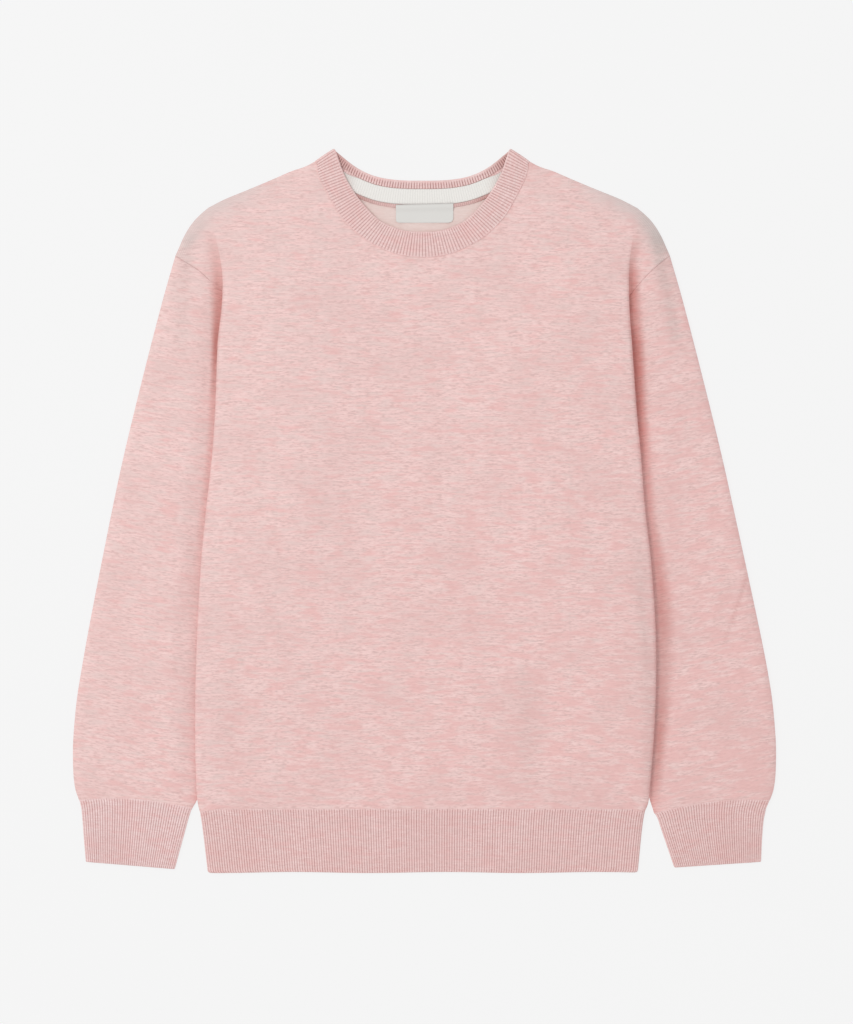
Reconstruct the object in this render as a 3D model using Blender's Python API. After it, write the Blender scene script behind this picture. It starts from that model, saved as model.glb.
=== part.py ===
"""A long-sleeved crew-neck knit sweater, laid flat on its back on a surface.

+X runs to the wearer's left, +Y runs from the hem to the neck, and +Z is up from the surface.
The origin is on the surface, under the middle of the garment. All sizes below are in millimetres,
and become metres when a mesh is made.

The sleeves are flattened tubes that lie on the surface, with their inner edges under the body. The
back panel lies on the surface between them and rises over those edges, and the front panel lies on it.
"""

import math
from collections import namedtuple

import bpy

MM = 0.001

# Cloth. A panel is one layer of plain knit, and the neckband is two layers of rib.
WALL = 1.8
AIR = 0.6  # between two layers of cloth that lie on each other
SEAM_GAP = 0.5  # between two pieces that are sewn edge to edge
REST_GAP = 0.3  # under a small piece that lies on another
TUBE = 2 * WALL + AIR  # a flattened sleeve, cuff or hem
FRONT_BASE = WALL + AIR  # underside of the front panel where the body lies flat
LIFT = TUBE + 0.5  # how far the body rises to pass over a sleeve
EDGE_ROUND = 1.8  # how far in from a tube's folded edge its full thickness starts
SLIT_TIP = 0.9  # the slit inside a tube ends this share of the way from its folded edge to EDGE_ROUND
SLIT_FULL = 0.12  # and has its full height from this share of the way to the next place on

# The body's side edges: distance from the middle line at each height, to the wearer's right (-X) and
# left (+X). Above the armholes the same line is the soft crease that runs up to the shoulder.
SideRow = namedtuple("SideRow", "y right left")
BODY_EDGE = [
    SideRow(-283, 213.3, 209.4),
    SideRow(-275, 215.2, 212.4),
    SideRow(-262, 216.6, 214.1),
    SideRow(-205, 217.8, 218.3),
    SideRow(-150, 217, 220),
    SideRow(-98, 214.4, 219.2),
    SideRow(-48, 211, 216),
    SideRow(0, 206, 211.0),
    SideRow(52, 200, 207),
    SideRow(95, 197, 203),
    SideRow(160, 194.4, 198.5),
    SideRow(190, 191, 196.4),
    SideRow(218, 190, 196),
    SideRow(240, 192.5, 197),
    SideRow(262, 197.5, 200),
    SideRow(287.5, 204, 204),
]
BODY_ROWS = (-283, -268, -250, -225, -190, -150, -110, -70, -30, 10, 50, 90, 125, 155, 183)
YOKE_STEPS = 4  # rows between the armholes' ends and the shoulders

# The shoulder line, from the neckband's end to the top of the crease, and then round the shoulder
# point to the top of the armhole seam.
SHOULDER = [
    (103.1, 331.6),
    (108.8, 328.1),
    (116.2, 325.2),
    (125, 322.3),
    (146, 313.2),
    (167.5, 304.2),
    (187.5, 296),
    (204, 287.5),
]
EdgeRow = namedtuple("EdgeRow", "y x")
CAP_EDGE = [
    EdgeRow(242, 235),
    EdgeRow(251, 231),
    EdgeRow(259, 227.5),
    EdgeRow(268, 222.4),
    EdgeRow(275, 217.3),
    EdgeRow(281, 211.5),
    EdgeRow(287.5, 204),
]
CAP_CORNER_Y = 272  # where the cap's patch changes from its outer side to its top

# The armhole seam, from the shoulder point inwards. At BODY_SHARE it passes under the body's edge,
# and from there to share 1, the underarm, the body covers it.
SeamRow = namedtuple("SeamRow", "share right_x right_y left_x left_y")
ARMHOLE = [
    SeamRow(0.00, 235, 242, 235, 242),
    SeamRow(0.13, 224.5, 235.5, 225.2, 234.5),
    SeamRow(0.26, 214, 229, 214.2, 224.5),
    SeamRow(0.39, 203, 219.5, 203.8, 213),
    SeamRow(0.52, 190, 208.5, 196, 204),
    SeamRow(0.76, 171, 186, 172, 184),
    SeamRow(1.00, 150, 168, 150, 168),
]
BODY_SHARE = 0.52
CAP_SHARES = (0.0, 0.13, 0.26, 0.39, BODY_SHARE)

# The sleeve's two folded edges, as distance from the middle line at each height.
SLEEVE_OUTER = [
    EdgeRow(-274.6, 328.6),
    EdgeRow(-266, 331.6),
    EdgeRow(-254, 333.4),
    EdgeRow(-237, 334.1),
    EdgeRow(-218, 333.8),
    EdgeRow(-180, 330.4),
    EdgeRow(-142, 324.2),
    EdgeRow(-104, 316.9),
    EdgeRow(-28, 301.3),
    EdgeRow(48, 285),
    EdgeRow(124, 266.6),
    EdgeRow(200, 247),
    EdgeRow(242, 235),
]
SLEEVE_INNER = [
    SideRow(-290, 224, 218.8),
    SideRow(-282.2, 220.2, 216.6),
    SideRow(-275, 216.2, 214.2),
    SideRow(-262, 213, 211),
    SideRow(-235, 208, 207),
    SideRow(-200, 201, 201),
    SideRow(-150, 190, 190),
    SideRow(-100, 180, 180),
    SideRow(-50, 170, 170),
    SideRow(0, 159, 159),
    SideRow(50, 149, 149),
    SideRow(100, 144, 144),
    SideRow(150, 146, 146),
    SideRow(168, 150, 150),
    SideRow(190, 174, 178),
    SideRow(209, 190, 197),
]
# The sleeve's sections: where each meets the outer and the inner edge, how much of the armhole's
# curve it still follows, how far its middle bows up towards the shoulder, and how much lower the
# inner edge of the wearer's left sleeve hangs.
SleeveRow = namedtuple("SleeveRow", "outer_y inner_y curve bow droop")
SLEEVE_ROWS = [
    SleeveRow(242, 168, 1, 0, 0),
    SleeveRow(222, 150, 0.6, 0, 0),
    SleeveRow(195, 128, 0.3, 0, 0),
    SleeveRow(160, 100, 0.1, 0, 0),
    SleeveRow(120, 65, 0, 0, 0),
    SleeveRow(75, 28, 0, 0, 0),
    SleeveRow(30, -12, 0, 0, 0),
    SleeveRow(-15, -52, 0, 0, 0),
    SleeveRow(-60, -92, 0, 0, 0),
    SleeveRow(-105, -132, 0, 0, 0),
    SleeveRow(-150, -170, 0, 0, 0),
    SleeveRow(-190, -203, 0, 0.5, 0),
    SleeveRow(-222, -230, 0, 1.5, 0),
    SleeveRow(-245, -252, 0, 3, 1),
    SleeveRow(-260, -268, 0, 4, 3),
    SleeveRow(-274.3, -282.2, 0, 5, 5),
]
SLEEVE_SHARES = (0.13, 0.26, 0.39, BODY_SHARE, 0.68, 0.84)  # places across a section

# The cuff's sections, from the sleeve to the wrist.
CuffRow = namedtuple("CuffRow", "outer_y inner_y bow droop right_outer right_inner left_outer left_inner")
CUFF_ROWS = [
    CuffRow(-275, -283, 5, 5, 328.4, 220.5, 328.4, 218.3),
    CuffRow(-280.5, -288, 4.6, 4.2, 326.8, 222.6, 326.1, 221.2),
    CuffRow(-289, -296, 3.5, 3, 325.8, 224.9, 323.3, 223.4),
    CuffRow(-311, -318, 1.5, 1, 324.1, 230.9, 321.2, 230.2),
    CuffRow(-333.9, -340.9, 0, -1.5, 322.2, 237.2, 320.2, 237.2),
]

# The hem rib's rows, from the body down, and its places across, as shares of the half width.
HEM_ROWS = [
    SideRow(-283.5, 213.2, 209.3),
    SideRow(-292, 212.1, 207.9),
    SideRow(-309, 210.2, 206.1),
    SideRow(-344, 206.2, 202.8),
]
HEM_SHARES = (0.93, 0.86, 0.79, 0.4)

# The garment lies slightly askew: its middle line's place at each height.
LEAN = [EdgeRow(-150, 0), EdgeRow(-50, -1), EdgeRow(30, -1.6), EdgeRow(280, -1.8), EdgeRow(344, -2.2)]

# Over a sleeve the body is level for COVER past the sleeve's hidden edge, then comes down over RAMP.
COVER = 16
RAMP = 42
RISE_TOP, RISE_FULL = 258, 212  # the crease starts at the first height and is full at the second
HEM_FULL, HEM_FLAT = -262, -318  # the body comes back down to the surface between these
CREASE_RUN = 6  # width of the crease's outer side

# The neckband. Each row is one rib: its end on the folded top edge (in) and its end at the seam (out),
# from the middle of the front or back to the fold at the neck point. rise lifts the front over the back.
BAND = 2.8
BAND_LAYER = 1.4
FRONT_STEP = BAND - 0.1  # its front is two layers right down to the seam, but for this
EDGE_SHARE = 0.05  # share of the band over which its folded top edge is rounded
FOLD_DEPTH = 0.3  # share of the band that is turned over to the inside, in the outer colour
RibRow = namedtuple("RibRow", "in_x in_y out_x out_y rise")
FRONT_RIBS = [
    RibRow(0, 265, 0, 240.6, 0),
    RibRow(12, 265.4, 16.5, 242, 0),
    RibRow(24, 268, 32.5, 246.3, 0.1),
    RibRow(41, 276, 56, 258.5, 0.4),
    RibRow(56.5, 291.5, 76, 277, 0.8),
    RibRow(67, 306, 88, 296.5, 1.0),
    RibRow(74, 319, 95.5, 311, 1.0),
    RibRow(78.5, 331, 99.5, 321.5, 1.0),
    RibRow(82, 341.6, 100.3, 329.4, 1.0),
]
BACK_RIBS = [
    RibRow(0, 313.7, 0, 288, 0),
    RibRow(13, 313.8, 15, 288.2, 0),
    RibRow(26.5, 314.6, 31, 289.4, 0),
    RibRow(39.5, 316.6, 46, 292.3, 0),
    RibRow(51, 320.2, 59, 297, 0),
    RibRow(61.5, 325.6, 71, 302.5, 0),
    RibRow(69.5, 331.2, 82, 309.5, 0),
    RibRow(76.5, 337, 92, 318, 0),
    RibRow(82, 341.6, 100.3, 329.4, 0),
]
FOLD_ANGLES = (90, 45, 0, -45, -90)  # round the fold at a neck point, from the front to the back
FOLD_AXIS_Z = (FRONT_BASE + FRONT_RIBS[-1].rise + BAND) / 2
NARROWING = 0.4  # how far the body's columns have come in by the armholes' ends, as a share of the whole way
NECK_RISE_REACH = 60  # how far along the shoulder the front panel follows the neckband's rise

# The white rib facing and the pink tape inside the back neck, as shares of the band's width.
FACING = 1.1
FACING_FROM, FACING_TO = 0.312, 0.893
TAPE = 1.0
TAPE_FROM, TAPE_TO = 0.906, 1.035  # it covers the seam, and lies on the back panel's edge
FACING_RIBS = 7  # both end this many rows out from the middle, under the front neckband
LABEL_X, LABEL_WIDTH = 1.9, 54.6
LABEL_TOP, LABEL_BOTTOM = 291.4, 273.6
LABEL_TILT = 0.03  # its top runs up a little towards the wearer's left
LABEL = 0.6
LabelRow = namedtuple("LabelRow", "y z")
LABEL_ROWS = [
    LabelRow(LABEL_TOP, WALL + TAPE + 2 * REST_GAP),
    LabelRow(286.4, WALL + TAPE + 2 * REST_GAP),
    LabelRow(282.5, WALL + REST_GAP),
    LabelRow(LABEL_BOTTOM, WALL + REST_GAP),
]

PINK = (0.800, 0.560, 0.540)
RIB_PINK = (0.740, 0.480, 0.465)
CREAM = (0.780, 0.640, 0.590)
WHITE = (0.800, 0.795, 0.760)


def smooth(t):
    """0 below 0, 1 above 1, and a smooth step between."""
    t = min(max(t, 0.0), 1.0)
    return t * t * (3 - 2 * t)


def mix(a, b, t):
    return a + (b - a) * t


def through(rows, key, column):
    """A column's value at a key, on a smooth curve through the rows, whose first column rises."""
    keys = [row[0] for row in rows]
    values = [getattr(row, column) for row in rows]
    if key <= keys[0]:
        return values[0]
    if key >= keys[-1]:
        return values[-1]
    i = max(n for n, k in enumerate(keys) if k <= key)

    def slope(n):
        low, high = max(n - 1, 0), min(n + 1, len(keys) - 1)
        return (values[high] - values[low]) / (keys[high] - keys[low])

    run = keys[i + 1] - keys[i]
    t = (key - keys[i]) / run
    near = (1 + 2 * t) * (1 - t) ** 2 * values[i] + t * (1 - t) ** 2 * run * slope(i)
    far = t * t * (3 - 2 * t) * values[i + 1] - t * t * (1 - t) * run * slope(i + 1)
    return near + far


def side_name(side):
    return "right" if side < 0 else "left"


def body_edge(side, y):
    return through(BODY_EDGE, y, side_name(side))


def armhole(side, share):
    name = side_name(side)
    return through(ARMHOLE, share, name + "_x"), through(ARMHOLE, share, name + "_y")


def lift(x, y):
    """How far the body is raised at this place to pass over a sleeve."""
    edge = body_edge(x, y)
    inside = edge - abs(x)
    covered = max(edge - through(SLEEVE_INNER, y, side_name(x)), 0) + COVER
    full = LIFT * smooth((RISE_TOP - y) / (RISE_TOP - RISE_FULL)) * smooth((y - HEM_FLAT) / (HEM_FULL - HEM_FLAT))
    if inside < 0:
        return full * smooth(1 + inside / CREASE_RUN)
    return full * smooth(1 - (inside - covered) / RAMP)


# ---------------------------------------------------------------- meshes


def material(name, colour, roughness=0.95):
    made = bpy.data.materials.new(name)
    made.use_nodes = True
    shader = made.node_tree.nodes["Principled BSDF"]
    shader.inputs["Base Color"].default_value = (*colour, 1)
    shader.inputs["Roughness"].default_value = roughness
    made.diffuse_color = (*colour, 1)
    return made


def add_object(name, points, faces, finish):
    mesh = bpy.data.meshes.new(name)
    placed = [(x + through(LEAN, y, "x"), y, z) for x, y, z in points]
    mesh.from_pydata([[c * MM for c in point] for point in placed], [], faces)
    mesh.materials.append(finish)
    mesh.shade_smooth()
    mesh.set_sharp_from_angle(angle=math.radians(35))
    made = bpy.data.objects.new(name, mesh)
    bpy.context.scene.collection.objects.link(made)
    return made


def plate(name, low, high, faces, finish):
    """A layer of cloth. low and high are its undersides' and tops' points, and each face turns left."""
    count = len(low)
    directed = {(a, b) for face in faces for a, b in zip(face, face[1:] + face[:1])}
    rim = [(a, b) for a, b in sorted(directed) if (b, a) not in directed]
    solid = [[n + count for n in face] for face in faces]
    # Both sides of a face are cut along the same diagonal, so layers that lie on each other stay clear.
    solid += [face[:1] + face[:0:-1] for face in faces]
    solid += [[a, b, b + count, a + count] for a, b in rim]
    return add_object(name, low + high, solid, finish)


def tube(name, outer, inner, finish):
    """A hollow tube open at both ends. outer and inner are lists of rings with as many points each."""
    size = len(outer[0])
    points = [p for ring in outer + inner for p in ring]
    shift = size * len(outer)
    solid = []
    for row in range(len(outer) - 1):
        for n in range(size):
            a, b = row * size + n, row * size + (n + 1) % size
            solid.append([a, a + size, b + size, b])
            solid.append([a + shift, b + shift, b + size + shift, a + size + shift])
    for row, flip in ((0, True), (len(outer) - 1, False)):
        for n in range(size):
            a, b = row * size + n, row * size + (n + 1) % size
            cap = [a, a + shift, b + shift, b]
            solid.append(cap[::-1] if flip else cap)
    return add_object(name, points, solid, finish)


def loft(name, sections, finish, closed):
    """A solid through sections of as many points each, in a closed loop or with two end faces."""
    size, count = len(sections[0]), len(sections)
    points = [p for section in sections for p in section]
    solid = []
    for row in range(count if closed else count - 1):
        after = (row + 1) % count
        for n in range(size):
            m = (n + 1) % size
            solid.append([row * size + n, row * size + m, after * size + m, after * size + n])
    if not closed:
        solid.append(list(range(size))[::-1])
        solid.append([(count - 1) * size + n for n in range(size)])
    return add_object(name, points, solid, finish)


# ---------------------------------------------------------------- body panels


def seam_point(rib):
    """The panel's edge beside the outer end of one of the neckband's ribs."""
    length = math.hypot(rib.out_x - rib.in_x, rib.out_y - rib.in_y)
    return (
        rib.out_x + (rib.out_x - rib.in_x) / length * SEAM_GAP,
        rib.out_y + (rib.out_y - rib.in_y) / length * SEAM_GAP,
    )


def panel_tops(ribs):
    """The top end of each column on one side, from the middle: neckline, then shoulder line."""
    return [seam_point(rib) for rib in ribs[:-1]] + SHOULDER


def panel_plan(ribs):
    """The panel's points in plan, as (x, y, rise), and its faces."""
    tops = panel_tops(ribs)
    rises = [rib.rise for rib in ribs]
    last = len(tops) - 1
    neck = len(ribs) - 1
    points, rows = [], []
    for step in range(len(BODY_ROWS) + YOKE_STEPS + 1):
        row = []
        for column in range(-last, last + 1):
            side = -1 if column < 0 else 1
            k = abs(column)
            top_x, top_y = tops[k]
            even = k / last
            narrowed = top_x / body_edge(side, top_y)
            arm_y = mix(armhole(-1, BODY_SHARE)[1], armhole(1, BODY_SHARE)[1], (column / last + 1) / 2)
            if step < len(BODY_ROWS):
                y, up = BODY_ROWS[step], 0
                narrowing = NARROWING * max(y / arm_y, 0) ** 2
            else:
                up = (step - len(BODY_ROWS)) / YOKE_STEPS
                y = mix(arm_y, top_y, up)
                narrowing = mix(NARROWING, 1, up)
            x = side * body_edge(side, y) * mix(even, narrowed, narrowing)
            reach = max(top_x - tops[neck][0], 0) / NECK_RISE_REACH
            rise = rises[min(k, neck)] * smooth(up) * smooth(1 - reach)
            row.append(len(points))
            points.append((x, y, rise))
        rows.append(row)
    faces = [
        [low[n], low[n + 1], high[n + 1], high[n]]
        for low, high in zip(rows, rows[1:])
        for n in range(2 * last)
    ]
    crease = rows[len(BODY_ROWS):]
    for side, end in ((-1, 0), (1, -1)):
        add_cap(points, faces, side, [row[end] for row in crease])
    return points, faces


def add_cap(points, faces, side, crease):
    """Adds the part of a panel between the crease, the armhole seam and the shoulder's outline."""
    steps = len(crease) - 1
    across = len(CAP_SHARES) - 1
    seam = [armhole(side, share) for share in CAP_SHARES[::-1]]
    crease_top_y = CAP_EDGE[-1].y
    top_ys = [mix(crease_top_y, CAP_CORNER_Y, n / across) for n in range(across + 1)]
    top = [(through(CAP_EDGE, y, "x"), y) for y in top_ys]
    outer_ys = [mix(CAP_EDGE[0].y, CAP_CORNER_Y, n / steps) for n in range(steps + 1)]
    outer = [(through(CAP_EDGE, y, "x"), y) for y in outer_ys]
    inner = [(abs(points[n][0]), points[n][1]) for n in crease]
    grid = []
    for j in range(steps + 1):
        t = j / steps
        row = [crease[j]]
        for i in range(1, across + 1):
            s = i / across
            x, y = (
                mix(seam[i][c], top[i][c], t)
                + mix(inner[j][c], outer[j][c], s)
                - mix(mix(seam[0][c], seam[-1][c], s), mix(top[0][c], top[-1][c], s), t)
                for c in (0, 1)
            )
            row.append(len(points))
            points.append((side * x, y, 0))
        grid.append(row)
    for low, high in zip(grid, grid[1:]):
        for n in range(across):
            face = [low[n], low[n + 1], high[n + 1], high[n]]
            faces.append(face if side > 0 else face[::-1])


def body_panel(name, ribs, base, finish):
    plan, faces = panel_plan(ribs)
    low = [(x, y, base + rise + lift(x, y)) for x, y, rise in plan]
    high = [(x, y, z + WALL) for x, y, z in low]
    return plate(name, low, high, faces, finish)


# ---------------------------------------------------------------- flattened tubes


def flat_ring(places, first, last):
    """An outer and an inner ring of a flattened tube.

    places are the (x, y, lift) points across the section between its rounded edges, and first and
    last are the two folded edges.
    """
    middle = TUBE / 2
    outer, inner = [], []
    for top in (True, False):
        row = places if top else places[::-1]
        start, end = (first, last) if top else (last, first)
        outer.append((start[0], start[1], start[2] + middle))
        tip = mix_point(start, row[0], SLIT_TIP)
        inner.append((tip[0], tip[1], start[2] + middle))
        sign = 1 if top else -1
        outer += [(x, y, z + middle + sign * TUBE / 2) for x, y, z in row]
        near, far = mix_point(row[0], row[1], SLIT_FULL), mix_point(row[-1], row[-2], SLIT_FULL)
        slit = [near] + list(row[1:-1]) + [far]
        inner += [(x, y, z + middle + sign * AIR / 2) for x, y, z in slit]
    return outer, inner


def mix_point(a, b, t):
    return tuple(mix(p, q, t) for p, q in zip(a, b))


def limb_section(side, outer, inner, shares, place):
    """Points across a sleeve or cuff section. place(share) gives their plan position."""
    width = math.hypot(outer[0] - inner[0], outer[1] - inner[1])
    edge = EDGE_ROUND / width
    spots = [place(share) for share in (edge, *shares, 1 - edge)]
    ends = [place(0), place(1)]
    spots, ends = ([(side * x, y, 0) for x, y in group] for group in (spots, ends))
    return spots, ends[0], ends[1]


def sleeve_section(side, row):
    inner_y = row.inner_y - (row.droop if side > 0 else 0)
    outer = (through(SLEEVE_OUTER, row.outer_y, "x"), row.outer_y)
    inner = (through(SLEEVE_INNER, inner_y, side_name(side)), inner_y)
    seam_ends = armhole(side, 0), armhole(side, 1)

    def place(share):
        chord = mix_point(*seam_ends, share)
        seam = armhole(side, share)
        straight = mix_point(outer, inner, share)
        bow = 4 * share * (1 - share) * row.bow
        x = straight[0] + (seam[0] - chord[0]) * row.curve
        y = straight[1] + (seam[1] - chord[1]) * row.curve + bow
        return x, y - 2 * SEAM_GAP * row.curve

    return limb_section(side, outer, inner, SLEEVE_SHARES, place)


def cuff_section(side, row):
    name = side_name(side)
    outer = (getattr(row, name + "_outer"), row.outer_y)
    inner = (getattr(row, name + "_inner"), row.inner_y - (row.droop if side > 0 else 0))

    def place(share):
        x, y = mix_point(outer, inner, share)
        return x, y + 4 * share * (1 - share) * row.bow

    return limb_section(side, outer, inner, SLEEVE_SHARES, place)


def limb(name, side, sections, finish):
    rings = [flat_ring(*section) for section in sections]
    # The wearer's left limb is the mirror of the right, so its rings turn the other way.
    if side > 0:
        rings = [(outer[::-1], inner[::-1]) for outer, inner in rings]
    return tube(name, [r[0] for r in rings], [r[1] for r in rings], finish)


def hem_rib(finish):
    rings = []
    for row in HEM_ROWS:
        spots = []
        for side, width in ((-1, row.right), (1, row.left)):
            shares = (1 - EDGE_ROUND / width, *HEM_SHARES)
            half = [(side * width * share, row.y) for share in shares]
            spots.append(half if side < 0 else half[::-1])
        across = spots[0] + [(0, row.y)] + spots[1]
        places = [(x, y, lift(x, y)) for x, y in across]
        ends = [(x, row.y, lift(x, row.y)) for x in (-row.right, row.left)]
        rings.append(flat_ring(places, *ends))
    return tube("hem_rib", [r[0] for r in rings], [r[1] for r in rings], finish)


# ---------------------------------------------------------------- neck


def band_stations():
    """Every rib of the neckband once round: (rib, side, angle), where angle turns it over at a fold."""
    front, back = FRONT_RIBS, BACK_RIBS
    stations = [(rib, 1, 90) for rib in front[:-1]]
    stations += [(front[-1], 1, angle) for angle in FOLD_ANGLES]
    stations += [(rib, 1, -90) for rib in back[-2:0:-1]]
    stations += [(rib, -1, -90) for rib in back[:-1]]
    stations += [(back[-1], -1, angle) for angle in FOLD_ANGLES[::-1]]
    stations += [(rib, -1, 90) for rib in front[-2:0:-1]]
    return stations


def band_point(rib, side, angle, share, depth):
    """A point of the neckband. share runs from its folded edge to its seam, depth in from its face."""
    x, y = mix(rib.in_x, rib.out_x, share), mix(rib.in_y, rib.out_y, share)
    if abs(angle) == 90:
        face = FRONT_BASE + rib.rise + BAND
        return side * x, y, face - depth if angle > 0 else depth
    length = math.hypot(rib.out_x - rib.in_x, rib.out_y - rib.in_y)
    outward = -(rib.out_y - rib.in_y) / length, (rib.out_x - rib.in_x) / length
    reach = FOLD_AXIS_Z - depth
    turn = math.radians(angle)
    plan = [c + o * reach * math.cos(turn) for c, o in zip((x, y), outward)]
    return side * plan[0], plan[1], FOLD_AXIS_Z + reach * math.sin(turn)


def neckband(finish):
    sections = []
    for rib, side, angle in band_stations():
        # Behind the neck the inner layer is a separate facing, which lies in this step.
        step = BAND_LAYER if angle < 0 else FRONT_STEP
        shape = [
            (EDGE_SHARE, 0),
            (1, 0),
            (1, step),
            (FOLD_DEPTH, step),
            (FOLD_DEPTH, BAND),
            (EDGE_SHARE, BAND),
            (0, 0.7 * BAND),
            (0, 0.3 * BAND),
        ]
        sections.append([band_point(rib, side, angle, share, depth) for share, depth in shape])
    return loft("neckband", sections, finish, closed=True)


def neck_strip(name, start, end, base, thick, finish):
    """A strip inside the back neck, from one side to the other, between two shares of the band."""
    ribs = [(rib, -1) for rib in BACK_RIBS[FACING_RIBS - 1 : 0 : -1]]
    ribs += [(rib, 1) for rib in BACK_RIBS[:FACING_RIBS]]
    corners = ((start, base), (end, base), (end, base + thick), (start, base + thick))
    sections = [
        [band_point(rib, side, -90, share, depth) for share, depth in corners] for rib, side in ribs
    ]
    return loft(name, sections[::-1], finish, closed=False)


def label(finish):
    half = LABEL_WIDTH / 2
    low = []
    for row in LABEL_ROWS:
        tilt = LABEL_TILT * (row.y - LABEL_BOTTOM) / (LABEL_TOP - LABEL_BOTTOM)
        low += [(LABEL_X + x, row.y + tilt * x, row.z) for x in (-half, half)]
    high = [(x, y, z + LABEL) for x, y, z in low]
    faces = [[2 * n, 2 * n + 2, 2 * n + 3, 2 * n + 1] for n in range(len(LABEL_ROWS) - 1)]
    return plate("label", low, high, faces, finish)


def build():
    for old in list(bpy.data.objects):
        bpy.data.objects.remove(old)
    knit = material("knit", PINK)
    rib_knit = material("rib_knit", RIB_PINK)
    facing = material("neck_facing", WHITE)
    backing = material("knit_back", CREAM)
    satin = material("label_cloth", WHITE, roughness=0.6)

    body_panel("body_back", BACK_RIBS, 0, backing)
    body_panel("body_front", FRONT_RIBS, FRONT_BASE, knit)
    for side, name in ((-1, "right"), (1, "left")):
        limb("sleeve_" + name, side, [sleeve_section(side, row) for row in SLEEVE_ROWS], knit)
        limb("cuff_" + name, side, [cuff_section(side, row) for row in CUFF_ROWS], rib_knit)
    hem_rib(rib_knit)
    neckband(rib_knit)
    neck_strip("neck_facing", FACING_FROM, FACING_TO, BAND_LAYER + REST_GAP, FACING, facing)
    neck_strip("neck_tape", TAPE_FROM, TAPE_TO, WALL + REST_GAP, TAPE, rib_knit)
    label(satin)


build()
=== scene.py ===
"""The looks of a long-sleeved crew-neck knit sweater that lies flat on its back, seen from straight above.

+X runs to the wearer's left, +Y from the hem to the neck, and +Z up from the surface, as in the frame.
The cloth is made on the same sizes as the frame's plain pieces, in millimetres, with its folds, ribs,
seams and soft creases, and becomes metres when a mesh is made.

Every point of the cloth carries its place in the knitting, across and along the rows of stitches, in
metres. The materials draw yarn and stitches from it, so they follow the cloth round every fold.
"""

import math
from collections import namedtuple

import bmesh
import bpy
import numpy as np
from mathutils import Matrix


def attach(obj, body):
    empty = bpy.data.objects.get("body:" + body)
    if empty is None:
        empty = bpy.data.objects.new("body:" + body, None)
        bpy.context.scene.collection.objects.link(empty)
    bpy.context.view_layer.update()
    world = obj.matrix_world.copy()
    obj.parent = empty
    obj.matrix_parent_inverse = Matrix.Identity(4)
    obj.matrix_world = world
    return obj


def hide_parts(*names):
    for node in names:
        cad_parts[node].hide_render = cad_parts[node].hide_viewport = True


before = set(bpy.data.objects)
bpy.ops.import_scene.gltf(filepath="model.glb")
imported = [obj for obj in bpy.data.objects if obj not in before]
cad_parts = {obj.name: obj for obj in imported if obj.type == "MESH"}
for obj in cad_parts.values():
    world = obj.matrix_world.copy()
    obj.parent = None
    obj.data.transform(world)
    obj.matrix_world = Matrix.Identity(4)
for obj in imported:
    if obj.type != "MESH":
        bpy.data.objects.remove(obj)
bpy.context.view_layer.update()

MM = 0.001
BODY = "root"


def table(columns, *rows):
    """Rows of numbers, with a name for each column."""
    kind = namedtuple("Row", columns)
    return [kind(*row) for row in rows]


# ---------------------------------------------------------------- sizes that the frame has too

# The outlines are the frame's, but its small gaps at sewn edges are closed here, and the armholes' lower
# ends and the shoulders' neck ends lie up to 2 mm away from its own.

WALL = 1.8  # the plain cloth
AIR = 0.6  # between two layers of it
REST_GAP = 0.3
TUBE = 2 * WALL + AIR  # the height of a sleeve, or of the body where it lies flat
FRONT_BASE = WALL + AIR
LIFT = TUBE + 0.5  # how far the body's sides are lifted over the sleeves

BODY_EDGE = table(
    "y right left",
    (-283, 213.3, 209.4), (-275, 215.2, 212.4), (-262, 216.6, 214.1), (-205, 217.8, 218.3),
    (-150, 217, 220), (-98, 214.4, 219.2), (-48, 211, 216), (0, 206, 211), (52, 200, 207),
    (95, 197, 203), (160, 194.4, 198.5), (190, 191, 196.4), (218, 190, 196), (240, 192.5, 197),
    (262, 197.5, 200), (287.5, 204, 204),
)
HEM_TOP = -283

# The shoulder line, from the neckband's fold to the crease beside the body.
SHOULDER = table(
    "x y",
    (101.9, 332), (108.8, 328.1), (116.2, 325.2), (125, 322.3),
    (146, 313.2), (167.5, 304.2), (187.5, 296), (204, 287.5),
)
CAP_EDGE = table(
    "y x",
    (242, 235), (251, 231), (259, 227.5), (268, 222.4), (275, 217.3), (281, 211.5), (287.5, 204),
)
CAP_CORNER_Y = 272  # a panel's grid turns its outer corner here

ARMHOLE = table(
    "share right_x right_y left_x left_y",
    (0, 235, 242, 235, 242), (0.13, 224.5, 235.5, 225.2, 234.5), (0.26, 214, 229, 214.2, 224.5),
    (0.39, 203, 219.5, 203.8, 213), (0.52, 190, 208.5, 196, 204), (0.76, 171, 186, 172, 184),
    (1, 150, 168, 150, 168),
)
BODY_SHARE = 0.52  # the body's folded side meets the armhole seam here

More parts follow.
